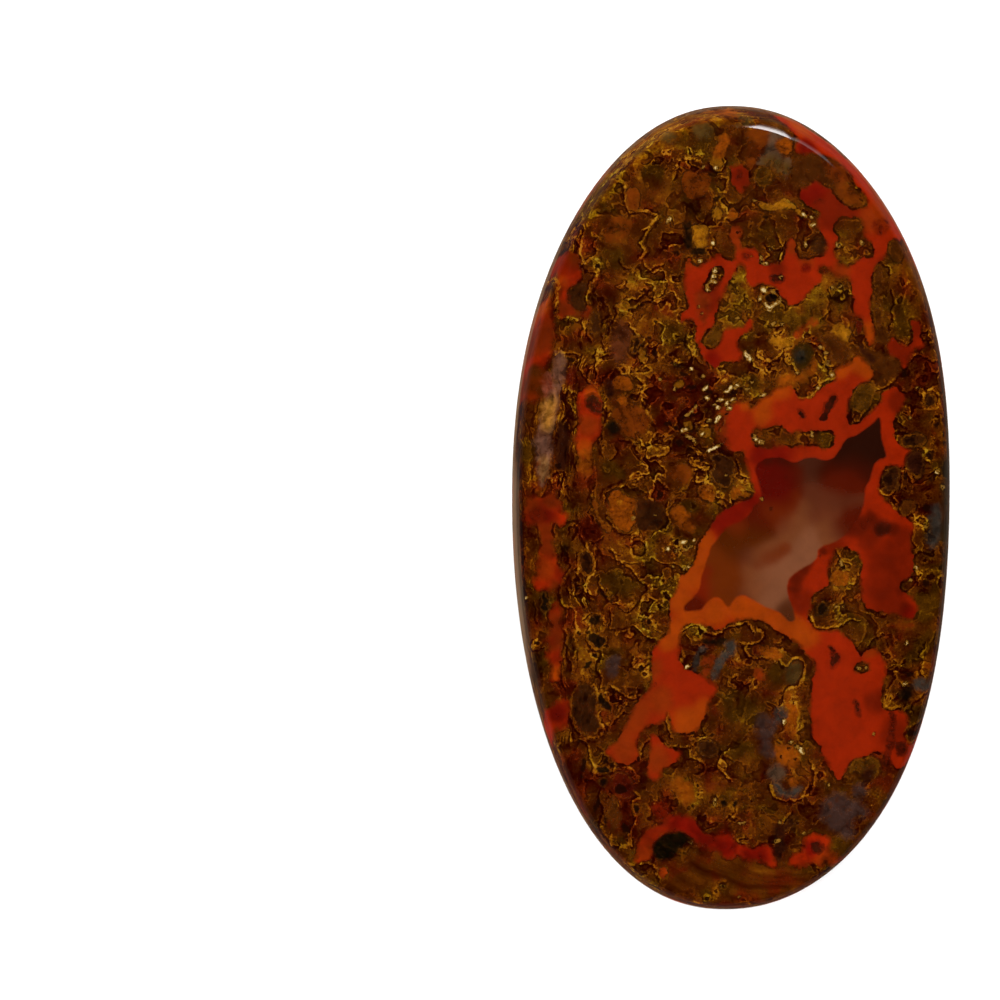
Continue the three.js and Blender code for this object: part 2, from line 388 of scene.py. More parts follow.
mossPatches = {
    "goldCrumb": [(650,145,12), (641,286,11), (663,290,12), (632,300,9), (597,357,7), (560,356,6),
        (645,440,9), (708,490,9), (742,490,9), (645,540,9), (632,572,7), (590,625,8), (585,655,6),
        (585,675,8), (775,652,8), (790,700,9), (792,730,8), (688,790,10), (842,576,8), (700,237,9),
        (720,210,8), (652,672,7), (572,402,6), (922,523,6)],
    "ochre": [(597,628,6), (588,657,6), (586,675,6), (604,650,5), (600,690,5), (606,714,5), (635,645,6),
        (615,640,6), (896,662,4), (888,703,5), (903,686,4), (925,664,5), (916,699,5), (888,655,4),
        (925,452,4), (700,118,12), (668,205,12), (655,320,12), (640,315,9), (840,330,9), (785,345,9),
        (800,375,10), (905,268,10), (925,290,9), (615,612,6), (610,545,10), (640,370,9), (660,440,9),
        (785,203,9), (590,765,8), (810,770,8), (848,600,8), (920,670,6), (575,625,6), (840,248,8)],
    "amberCalm": [(752,145,9), (622,230,9), (632,198,6), (697,185,9), (640,415,9), (900,623,8),
        (785,375,8), (760,385,7), (770,820,6), (715,790,7), (745,165,5)],
    "brownCrumb": [(590,225,9), (655,355,8), (640,395,8), (572,420,8), (650,470,9), (720,375,7),
        (585,600,9), (640,640,9), (610,715,8), (700,745,10), (745,675,12), (735,665,8), (720,770,9),
        (745,830,9), (925,400,9), (938,350,7), (940,440,7), (935,475,7), (870,795,8), (895,660,8),
        (690,902,7), (742,906,7), (565,742,8), (620,862,7), (776,903,6), (690,160,9), (670,165,9),
        (800,225,7), (768,365,8), (562,395,6)],
    "brown": [(640,235,10), (615,620,9), (605,740,9), (760,665,7), (715,715,10), (755,775,9),
        (770,805,10), (835,785,8), (875,622,8), (600,330,8), (770,180,10), (760,215,10), (830,170,9),
        (690,770,8), (770,640,7), (805,700,5), (640,800,8), (650,790,8), (592,490,8)],
    "oliveCrumb": [(650,886,7), (632,872,7), (707,900,7), (722,887,5), (822,873,8), (796,897,6),
        (672,330,9), (600,262,6), (775,250,8), (772,298,9), (775,325,8), (838,290,9), (675,555,12),
        (660,595,14), (645,625,10), (795,750,8), (715,802,8), (930,575,8), (745,388,9), (690,345,7),
        (840,608,9), (755,358,7), (700,150,9), (820,368,8), (700,630,8), (740,800,9)],
    "olive": [(700,132,12), (612,200,9), (618,262,9), (738,305,9), (735,318,7), (760,232,11),
        (530,450,9), (615,470,8), (622,578,12), (615,660,10), (740,706,12), (775,675,7), (740,745,10),
        (862,398,8), (885,300,8), (905,325,9), (925,605,11), (925,640,8), (565,328,7), (845,848,7),
        (820,876,9), (712,340,7), (850,195,7), (825,440,6), (860,772,7), (606,590,6), (728,486,4)],
    "oliveGold": [(735,300,9), (728,318,8), (738,320,8), (742,290,6), (798,314,9), (818,302,8),
        (826,285,7), (842,314,8), (816,320,6), (740,282,7), (741,303,8), (730,312,6)],
    "oliveLight": [(614,178,7), (600,195,7), (588,212,6), (824,368,7), (826,382,6), (695,445,6),
        (890,268,6), (652,552,7), (737,292,8), (738,318,7), (744,330,6), (795,335,8), (812,305,7),
        (846,252,7), (908,312,7), (800,325,7), (770,310,6), (788,372,6)],
    "darkGreen": [(917,658,5), (937,530,10), (935,500,8), (540,605,9), (526,590,6), (535,665,8),
        (905,694,7), (915,715,7), (655,175,8), (690,203,8), (880,330,6), (690,508,6), (715,182,6),
        (930,590,6), (592,825,6), (945,470,6)],
    "darkUmber": [(745,825,7), (800,175,14), (738,140,6), (785,218,9), (572,345,7), (612,440,8),
        (650,515,10), (570,505,8), (590,565,6), (885,365,11), (585,710,9), (810,810,10), (600,810,9),
        (725,465,9), (895,480,7), (915,440,8), (562,460,8), (600,305,8), (642,345,6), (615,345,8),
        (715,635,5), (765,345,6), (875,280,6), (806,205,5), (712,752,7)],
    "coffeeCrumb": [(680,360,9), (690,435,10), (715,415,10), (560,555,7), (700,468,7), (905,415,9),
        (915,465,8), (925,335,8), (575,590,6), (675,245,8), (735,395,8), (618,700,8), (780,838,7),
        (705,815,6)],
    "black": [(714,277,6), (708,289,4), (708,412,6), (716,459,6), (703,459,4), (692,431,4), (680,443,6),
        (671,426,5), (733,392,5), (663,490,5), (682,365,5), (668,846,8), (682,839,6), (912,440,6),
        (926,507,6), (930,400,3), (935,478,4), (928,560,5), (925,588,5), (908,374,5), (941,420,4),
        (905,492,5), (908,676,4), (914,734,5), (886,480,5), (930,345,4), (918,466,5), (686,372,8),
        (700,384,6), (712,406,8), (706,398,6), (684,432,8), (722,462,7), (722,478,7), (692,440,6),
        (645,522,6)],
    "maroonDark": [(690,388,12), (655,395,9), (670,420,11), (700,402,9), (920,372,11), (905,385,7),
        (925,495,10), (908,505,7), (590,530,9), (572,752,7), (578,775,9), (620,785,11), (625,822,9),
        (893,633,7), (885,760,8), (605,378,7), (660,492,6), (720,832,7), (655,380,6)],
    "rustCrumb": [(585,245,8), (575,375,8), (585,365,6), (662,455,7), (560,482,6), (575,612,6),
        (660,812,9), (905,285,7), (715,822,7), (610,808,7), (940,375,5), (565,688,6), (755,672,5)],
    "rustCalm": [(585,478,8), (710,372,5), (795,225,8), (775,410,5), (636,765,6), (575,800,8),
        (615,822,5), (884,785,6)],
    # painted reflection: pale moss along the north-west shoulder stands in for a faint highlight line
    "sandSheen": [(716,114,6), (700,118,8), (684,124,7), (667,131,7), (650,142,7), (634,155,6), (619,170,5),
        (745,118,6)],
    "streaked": [(725,872,14), (700,868,11), (683,884,9), (755,880,14), (780,880,13), (802,880,8),
        (735,891,9), (765,893,10), (672,872,7), (790,893,7)],
}

# Smooth cells in the moss: tone, gold rim (plus inside, minus outside), softness in pixels,
# outline
cells = {
    "amberKidney": ("amber", -0.3, 1, [611,493, 617,491, 623,493, 629,497, 636,500, 636,506, 633,512,
        635,519, 632,525, 629,531, 623,532, 618,527, 613,521, 610,514, 611,506, 608,499]),
    "amberSlip": ("amber", 0, 3, [673,508, 679,505, 684,508, 688,515, 690,522, 694,528, 692,534,
        686,532, 681,529, 677,521, 673,515]),
    "toffeePatch": ("toffee", 0, 4, [674,472, 680,466, 687,466, 691,472, 691,480, 686,484, 678,482,
        673,478]),
    "amberRound": ("amber", 0, 1.5, [613,379, 619,376, 627,377, 632,381, 633,387, 628,391, 620,391,
        614,388]),
    "capOne": ("pea", 0.5, 1, [732,385, 735,380, 741,379, 744,383, 740,387, 735,388]),
    "capTwo": ("pea", 0.7, 1, [698,430, 703,427, 710,428, 712,432, 708,437, 701,436]),
    "capThree": ("pea", 0.4, 1.2, [684,424, 689,421, 693,425, 692,430, 686,429]),
    "capFour": ("pea", 0.3, 1.2, [675,383, 680,379, 684,382, 682,387, 676,388]),
    "kidneyBrown": ("toffee", -0.2, 2, [616,409, 625,404, 636,405, 645,412, 649,422, 645,432, 636,438,
        628,436, 621,430, 615,422, 613,415]),
    "dropTail": ("amber", 0, 4, [580,451, 589,450, 591,462, 588,474, 582,473, 580,462]),
    "darkEye": ("coffee", 0, 1.5, [570,289, 577,284, 584,283, 587,288, 583,295, 583,303, 586,309,
        579,309, 572,306, 567,301, 567,294]),
    "dropEye": ("night", 0.2, 1, [586,398, 592,394, 598,398, 602,406, 600,413, 593,412, 587,407]),
    "softOval": ("ash", 0, 4, [616,326, 622,323, 629,326, 633,333, 630,341, 630,350, 626,358, 621,366,
        615,365, 611,355, 611,342, 612,332]),
    "darkSliver": ("coffee", 0.8, 1.2, [631,333, 636,335, 641,338, 644,342, 640,346, 638,352, 634,355,
        630,350, 632,342]),
    "plumColumn": ("coffee", 0.3, 3, [590,313, 596,312, 601,316, 602,326, 600,336, 594,339, 591,330]),
    "goldButton": ("honey", 0.8, 0.9, [616,305, 621,301, 627,301, 630,305, 626,310, 619,309]),
    "goldSquare": ("honey", 0.5, 0.9, [642,347, 646,350, 646,359, 641,362, 639,355]),
    # the whisker cells: the stone's mauve streak along the west shoulder, with a painted pinkish
    # reflection laid on it
    "whiskerSheen": ("mauve", 0, 3, [558,350, 565,356, 567,368, 563,381, 560,393, 558,405, 556,417, 554,430,
        552,442, 551,454, 549,466, 546,478, 542,486, 539,477, 537,463, 535,449, 537,436, 540,424,
        542,412, 545,400, 549,388, 552,376, 554,362]),
    "whiskerSheenGold": ("straw", 0, 5, [544,400, 552,396, 557,404, 555,416, 552,428, 545,431, 541,422,
        542,411]),
    "whiskerSheenRose": ("rose", 0, 4, [547,374, 552,376, 551,388, 547,397, 543,390]),
    "whiskerSheenDusk": ("dusk", 0, 5, [536,438, 543,434, 550,438, 552,448, 548,458, 542,462, 537,455,
        535,446]),
    "whiskerSheenFoot": ("whiskerSheenTip", 0, 3.5, [540,457, 547,457, 550,465, 547,476, 542,482, 538,470]),
    "amberBlock": ("toffee", 0, 1.2, [684,174, 690,171, 698,174, 706,173, 711,178, 709,187, 705,195,
        698,197, 689,198, 684,192, 682,183]),
    "amberNugget": ("toffee", 0, 2.5, [604,226, 610,220, 618,216, 626,218, 632,225, 628,234, 620,240,
        610,242, 604,236]),
    "amberTab": ("toffee", 0.4, 1.2, [627,190, 634,188, 640,192, 639,202, 637,210, 629,210, 626,200]),
    "goldBlock": ("honey", 0.7, 0.8, [693,226, 699,224, 706,225, 708,232, 706,238, 708,245, 702,247,
        696,246, 693,240, 695,233]),
    "blockShade": ("pitch", 0, 1.2, [684,224, 690,223, 692,229, 692,238, 692,246, 687,248, 684,240,
        685,232]),
    "blockFoot": ("pitch", 0, 1.2, [693,248, 700,247, 705,249, 704,254, 697,255, 692,253]),
    "goldPea": ("pea", 0.9, 1.2, [712,158, 718,157, 723,162, 721,168, 715,169, 711,164]),
    "goldPip": ("honey", 0.4, 1, [712,209, 718,208, 722,213, 719,219, 713,218]),
    "goldPipEast": ("amber", 0.5, 1, [729,210, 734,208, 737,214, 734,220, 729,218]),
    "slateFan": ("fog", 0, 3, [768,132, 776,129, 784,135, 780,143, 779,150, 784,157, 791,162, 791,172,
        786,177, 780,169, 773,164, 764,167, 758,162, 763,152, 767,142]),
    "fanSpot": ("amber", 0, 1.6, [776,142, 783,138, 791,139, 792,148, 787,154, 780,152, 776,148]),
    "amberFan": ("toffee", 0, 3, [746,134, 755,127, 764,128, 770,131, 768,142, 763,150, 757,158,
        753,166, 747,164, 749,152, 746,143]),
    "northHaze": ("haze", 0, 4, [694,126, 702,123, 711,124, 714,131, 710,138, 701,139, 694,134]),
    "northMauve": ("haze", 0, 3.5, [663,136, 669,131, 676,133, 675,140, 668,144, 663,141]),
    "crownOrange": ("amber", 0, 3, [718,107, 728,103, 742,103, 752,106, 748,113, 738,117, 727,114]),
    "slateLid": ("haze", 0, 2.5, [738,120, 746,116, 755,119, 752,125, 744,128, 737,127]),
    "ribbonGold": ("honey", 0.5, 1, [760,201, 767,204, 776,205, 783,199, 788,202, 794,205, 800,211,
        806,216, 802,217, 796,212, 789,208, 781,208, 773,211, 764,210, 760,206]),
    "fanFoot": ("haze", 0, 5, [760,158, 770,154, 782,158, 792,164, 792,173, 785,177, 774,170, 764,168]),
    "calmShelf": ("umber", 0, 4, [795,158, 806,156, 818,156, 832,160, 842,168, 848,178, 846,186,
        836,188, 826,185, 815,180, 804,186, 795,186, 790,172]),
    "shelfGlow": ("caramel", 0, 6, [826,162, 836,161, 846,170, 849,180, 840,184, 831,176]),
    "shelfFoot": ("toffee", 0, 3, [838,184, 846,184, 856,190, 864,198, 862,205, 853,206, 844,202,
        837,194]),
    "netDark": ("coffee", 0, 3, [812,240, 818,236, 825,240, 826,248, 821,254, 814,252, 811,246]),
    "rimDark": ("liver", 0, 3, [873,223, 880,220, 889,221, 891,227, 885,232, 878,234, 873,229]),
    "rimTuft": ("umber", 0.4, 1.2, [888,244, 894,240, 900,244, 905,252, 902,260, 895,262, 889,254]),
    "brownEye": ("umber", 0.3, 2.6, [815,341, 820,336, 828,334, 836,334, 843,337, 848,343, 850,350,
        851,357, 845,362, 838,364, 831,361, 829,353, 826,346, 820,342]),
    "slateEye": ("peat", 0, 1.8, [793,349, 799,344, 808,344, 814,350, 815,358, 811,367, 804,372,
        797,368, 793,362, 792,355]),
    "slateCore": ("teal", 0, 3, [796,352, 802,350, 805,356, 802,362, 797,361, 795,356]),
    "goldRun": ("amber", 0, 4, [816,356, 820,360, 816,368, 810,376, 802,382, 792,386, 782,387, 778,381,
        785,374, 796,373, 806,370, 812,363]),
    "goldStep": ("honey", 0.2, 1.6, [767,340, 775,338, 783,339, 791,341, 791,346, 783,347, 774,345]),
    "brownBay": ("umber", 0, 3.5, [858,346, 866,350, 876,353, 888,356, 897,360, 900,368, 897,376,
        890,380, 884,385, 877,383, 873,374, 869,366, 863,357]),
    "darkRibbon": ("night", 0, 1.5, [858,345, 864,348, 872,354, 876,360, 872,364, 867,359, 861,353]),
    "oliveTuft": ("olive", 0.5, 1.3, [855,389, 862,384, 870,384, 876,388, 875,395, 872,402, 868,409,
        862,414, 857,411, 850,410, 849,403, 852,396]),
    "sandIsland": ("olive", 0.5, 2, [704,339, 707,334, 712,329, 716,323, 722,324, 722,332, 720,339,
        717,345, 711,348, 705,345]),
    "netHeart": ("rust", 0, 4, [699,291, 706,294, 710,300, 709,310, 706,318, 704,325, 700,318, 697,308,
        696,298]),
    "netStain": ("wine", 0, 2.5, [801,268, 806,264, 811,266, 808,271, 803,273]),
    "netSpot": ("maroon", 0, 2, [742,255, 746,252, 751,254, 750,259, 745,260]),
    "fanRust": ("russet", 0, 3.5, [793,334, 797,328, 804,324, 812,320, 818,322, 812,327, 806,330,
        800,335, 795,338]),
    "eastDarkOne": ("coffee", 0.7, 1.2, [900,437, 908,434, 918,433, 926,437, 925,444, 917,447, 908,448,
        901,444]),
    "eastDarkTwo": ("night", 0.6, 1.2, [908,455, 915,451, 922,452, 924,460, 924,468, 922,475, 917,479,
        911,474, 907,466, 906,460]),
    "eastDarkThree": ("coffee", 0.3, 1.5, [884,474, 889,468, 896,466, 900,471, 900,479, 899,487,
        894,491, 888,491, 883,487, 881,480]),
    "eastDarkFour": ("coffee", -0.6, 1.2, [926,396, 931,394, 935,398, 934,404, 928,405, 925,401]),
    "eastBrown": ("umber", 0.4, 1.5, [901,503, 908,500, 915,503, 916,510, 911,515, 903,515, 899,509]),
    "eastSlate": ("slate", 0, 4, [931,508, 937,505, 941,512, 941,525, 940,538, 936,546, 931,548,
        927,540, 930,530, 929,518]),
    "eastSlateLow": ("slate", 0, 3.5, [913,682, 920,679, 927,681, 931,687, 923,691, 915,689]),
    "eastGreen": ("pitch", 0, 3, [899,690, 905,686, 911,689, 912,697, 906,702, 900,698]),
    "goldKnot": ("amber", 0.4, 1.6, [831,575, 836,570, 843,570, 848,575, 848,583, 841,586, 834,584,
        829,580]),
    "tuftDark": ("pitch", 0.4, 1.5, [816,604, 822,601, 828,605, 828,612, 822,617, 816,613]),
    "darkWell": ("coffee", 0.5, 2.4, [710,457, 718,453, 728,455, 735,460, 735,468, 733,477, 731,486,
        724,489, 718,487, 713,481, 710,474, 713,468, 712,462]),
    "goldApron": ("amber", 0.8, 1, [731,497, 733,489, 738,486, 744,488, 748,492, 752,494, 750,498,
        744,499, 739,495, 734,500]),
    "goldFold": ("amber", 0.8, 1, [697,493, 699,486, 706,484, 712,485, 716,490, 717,497, 712,501,
        703,499]),
    "darkPool": ("coffee", -0.3, 3, [638,498, 646,500, 655,500, 662,505, 664,512, 663,520, 658,528,
        648,530, 639,531, 636,524, 637,514, 635,507]),
    "ribbonWest": ("toffee", 0.5, 1.2, [592,497, 597,503, 600,513, 604,521, 611,528, 608,531, 601,525,
        596,516, 593,507]),
    "greenLoop": ("coffee", -0.9, 1.2, [582,554, 588,552, 592,558, 592,568, 588,574, 583,570, 581,562]),
    "pitOne": ("pitch", -0.8, 0.9, [590,618, 594,616, 599,617, 599,622, 595,624, 590,622]),
    "pitTwo": ("pitch", -0.8, 0.9, [589,634, 595,633, 600,636, 605,640, 603,645, 598,647, 593,643,
        589,639]),
    "pitThree": ("pitch", -0.6, 0.9, [583,667, 587,663, 591,662, 590,666, 586,669]),
    "pitFour": ("pitch", -0.8, 0.9, [598,699, 601,694, 604,699, 608,703, 610,709, 605,709, 602,704]),
    "longOval": ("coffee", -0.6, 3, [577,690, 582,684, 589,686, 594,694, 597,703, 596,714, 599,724,
        597,732, 588,733, 580,730, 575,722, 572,712, 573,700]),
    "mauveSpot": ("violet", 0, 4, [611,657, 616,654, 620,660, 618,668, 614,676, 609,677, 606,671,
        608,663]),
    "westGreen": ("pitch", 0.3, 3, [541,594, 546,592, 549,600, 548,610, 544,616, 540,608]),
    "slateHook": ("slate", 0, 2.6, [712,677, 714,668, 717,660, 722,653, 726,648, 723,644, 728,640,
        734,640, 736,646, 733,653, 729,658, 724,664, 720,671, 716,679]),
    "slateComma": ("slate", 0, 2.6, [693,668, 694,660, 697,653, 701,648, 708,647, 706,651, 701,656,
        698,664, 696,671]),
    "hookHeart": ("rust", 0, 2.2, [702,659, 708,655, 715,655, 713,662, 710,670, 706,676, 702,671]),
    "hookBar": ("pitch", 0, 1.3, [703,641, 710,639, 718,640, 725,637, 730,638, 725,642, 718,645,
        709,645]),
    "mossSlate": ("drab", 0, 3, [787,668, 793,663, 799,662, 802,669, 799,677, 794,684, 787,683,
        784,675]),
    "mossDark": ("maroon", 0.5, 1.2, [752,648, 758,645, 765,647, 765,654, 758,656, 752,654]),
    "mossRust": ("russet", 0, 3, [755,669, 760,667, 764,673, 763,680, 758,681, 756,675]),
    "violetBend": ("violet", 0, 4.5, [757,719, 763,714, 770,718, 777,722, 775,731, 771,738, 771,747,
        776,755, 768,758, 760,752, 762,742, 758,732]),
    "mossGrey": ("slate", 0, 4.5, [775,712, 781,708, 786,713, 784,721, 777,721]),
    "violetLow": ("fog", 0, 4.5, [768,772, 773,766, 780,765, 787,768, 786,775, 780,779, 772,780]),
    "slateCrook": ("slate", 0.4, 2.6, [773,784, 779,783, 785,789, 791,787, 799,786, 804,787, 800,794,
        793,797, 784,797, 777,794]),
    "crookGold": ("amber", 0, 1.8, [787,780, 793,778, 798,782, 796,786, 790,786]),
    "violetPool": ("violet", 0.2, 4.5, [823,802, 829,796, 836,793, 845,795, 851,800, 858,800, 864,805,
        868,812, 864,818, 857,819, 853,825, 856,832, 852,838, 845,838, 838,834, 831,830, 825,824,
        821,816, 821,808]),
    "poolEar": ("violet", 0, 4, [853,788, 860,784, 865,787, 867,794, 862,798, 855,797]),
    "tuftEast": ("olive", 0.7, 1.6, [850,765, 855,759, 864,758, 872,756, 878,761, 880,770, 878,776,
        870,776, 862,774, 856,771, 849,772]),
    "blueNotch": ("night", 0, 3.5, [862,772, 869,767, 875,770, 874,777, 868,783, 863,780]),
    "blackOval": ("moor", 0, 2.2, [653,848, 655,842, 661,837, 668,833, 676,832, 684,833, 690,837,
        694,840, 687,843, 681,847, 676,852, 671,858, 664,860, 657,859]),
    "plumNest": ("maroon", 0.3, 3.5, [612,776, 618,771, 626,772, 631,778, 634,786, 634,795, 628,799,
        620,797, 614,790, 611,783]),
    "nestCore": ("umber", 0, 3, [609,800, 614,796, 619,804, 621,816, 618,828, 612,832, 608,822,
        607,810]),
    "nestPit": ("pitch", -0.7, 0.9, [600,780, 604,779, 606,782, 603,785, 600,784]),
    "nestSlot": ("pitch", -0.4, 0.9, [598,768, 603,767, 608,768, 608,772, 602,773, 598,771]),
    "curlPit": ("pitch", -0.7, 0.9, [634,806, 638,806, 638,812, 635,813, 633,809]),
    "honeyCone": ("amber", 0, 3.5, [672,780, 680,778, 688,782, 693,788, 696,797, 692,803, 684,805,
        679,798, 675,790, 671,786]),
    "darkKnee": ("night", 0.4, 1.8, [786,820, 791,815, 797,816, 797,822, 792,828, 787,830, 784,836,
        778,834, 772,830, 776,827, 782,826]),
    "footEye": ("night", 0, 1.5, [812,843, 818,841, 823,845, 823,850, 818,853, 813,849]),
    "archTip": ("garnet", 0, 4, [652,807, 660,803, 667,809, 671,817, 663,820, 656,815]),
    "lens": ("night", 0, 1.9, [828,646, 833,647, 837,652, 839,658, 836,664, 832,668, 830,663, 831,655]),
    "lensLow": ("night", 0, 1.7, [854,700, 858,702, 860,710, 860,717, 857,714, 855,707]),
    "rimPit": ("night", 0, 1.3, [897,746, 902,743, 906,748, 905,754, 899,755]),
    "slit": ("pitch", 0, 0.7, [834,395, 837,399, 833,405, 830,410, 828,415, 828,420, 819,420, 820,415,
        824,411, 826,404, 830,397]),
    "slitDot": ("pitch", 0, 0.7, [798,410, 802,411, 805,416, 801,418]),
    "southSeam": ("maroon", 0, 1.5, [889,712, 894,712, 896,720, 895,730, 893,742, 890,752, 888,764,
        885,764, 887,752, 888,738, 890,726]),
    "edgeGlow": ("rust", 0, 4, [718,412, 724,406, 729,412, 728,424, 727,436, 731,446, 727,452, 720,446,
        717,436, 716,424]),
    "squiggle": ("liver", 0, 2.4, [812,203, 816,199, 822,198, 827,200, 823,203, 817,203]),
    "netEye": ("night", 0, 1.6, [771,277, 776,274, 782,275, 785,279, 779,282, 773,281]),
    "greenEye": ("pitch", -1, 1, [765,297, 770,293, 776,295, 777,300, 771,303, 766,301]),
    "barSlot": ("maroon", 0, 1.2, [857,323, 861,321, 862,328, 861,334, 857,333]),
    "dropHeart": ("maroon", 0, 1.5, [738,171, 741,170, 742,175, 740,179, 737,177]),
    "coreWest": ("liver", 0, 4, [529,512, 536,509, 545,512, 546,518, 540,521, 532,520]),
    "southPit": ("pitch", -0.5, 0.9, [720,801, 725,800, 727,804, 723,807]),
    "southPitEast": ("pitch", -0.6, 0.9, [733,802, 737,802, 737,806, 733,806]),
    "browCell": ("coffee", 0.6, 1.5, [699,742, 706,740, 714,741, 719,746, 719,754, 712,758, 703,757,
        698,750]),
    "inkCorner": ("pitch", 0, 2, [608,424, 614,421, 620,425, 621,430, 616,434, 610,435]),
    "shadeLeft": ("night", 0, 2.4, [606,380, 612,381, 615,389, 613,397, 608,398, 605,389]),
    "orangeBead": ("amber", 0.2, 1.6, [618,399, 622,396, 626,399, 625,403, 620,404]),
    "eastBand": ("umber", 0.3, 2.4, [875,265, 880,262, 884,268, 883,280, 880,292, 881,305, 884,318,
        888,330, 889,340, 882,345, 876,341, 876,330, 873,318, 872,305, 874,292, 873,280]),
    "goldHook": ("honey", 0.2, 1.4, [833,327, 838,323, 845,326, 851,331, 850,338, 845,341, 839,336,
        833,333]),
    "goldFlag": ("amber", 0.2, 1.8, [757,649, 765,646, 772,647, 779,650, 784,655, 780,659, 772,660,
        766,657]),
    "goldColumn": ("amber", 0, 2.4, [786,690, 791,694, 790,702, 795,706, 799,713, 798,722, 797,730,
        794,738, 788,735, 785,727, 787,720, 790,712, 785,705, 783,697]),
    "goldShelf": ("amber", 0, 3, [776,747, 786,745, 796,750, 800,758, 796,766, 788,768, 779,762]),
    "amberTip": ("amber", 0.2, 1.8, [720,136, 726,134, 729,139, 728,148, 725,156, 718,159, 713,156,
        715,150, 719,145]),
    "slantedDark": ("night", 0, 2.4, [774,826, 783,826, 786,838, 785,852, 780,862, 775,855, 775,840]),
    "oliveRing": ("olive", 0.6, 1.8, [755,170, 762,166, 770,168, 773,176, 769,184, 761,188, 755,183]),
    "plumStrip": ("maroon", 0, 3, [568,366, 574,368, 575,380, 572,392, 567,384]),
    "darkSwale": ("night", 0, 3, [557,422, 565,421, 569,434, 569,452, 565,470, 558,468, 556,448]),
    "footRing": ("russet", -0.5, 1.2, [659,869, 664,868, 667,873, 664,878, 659,876]),
}

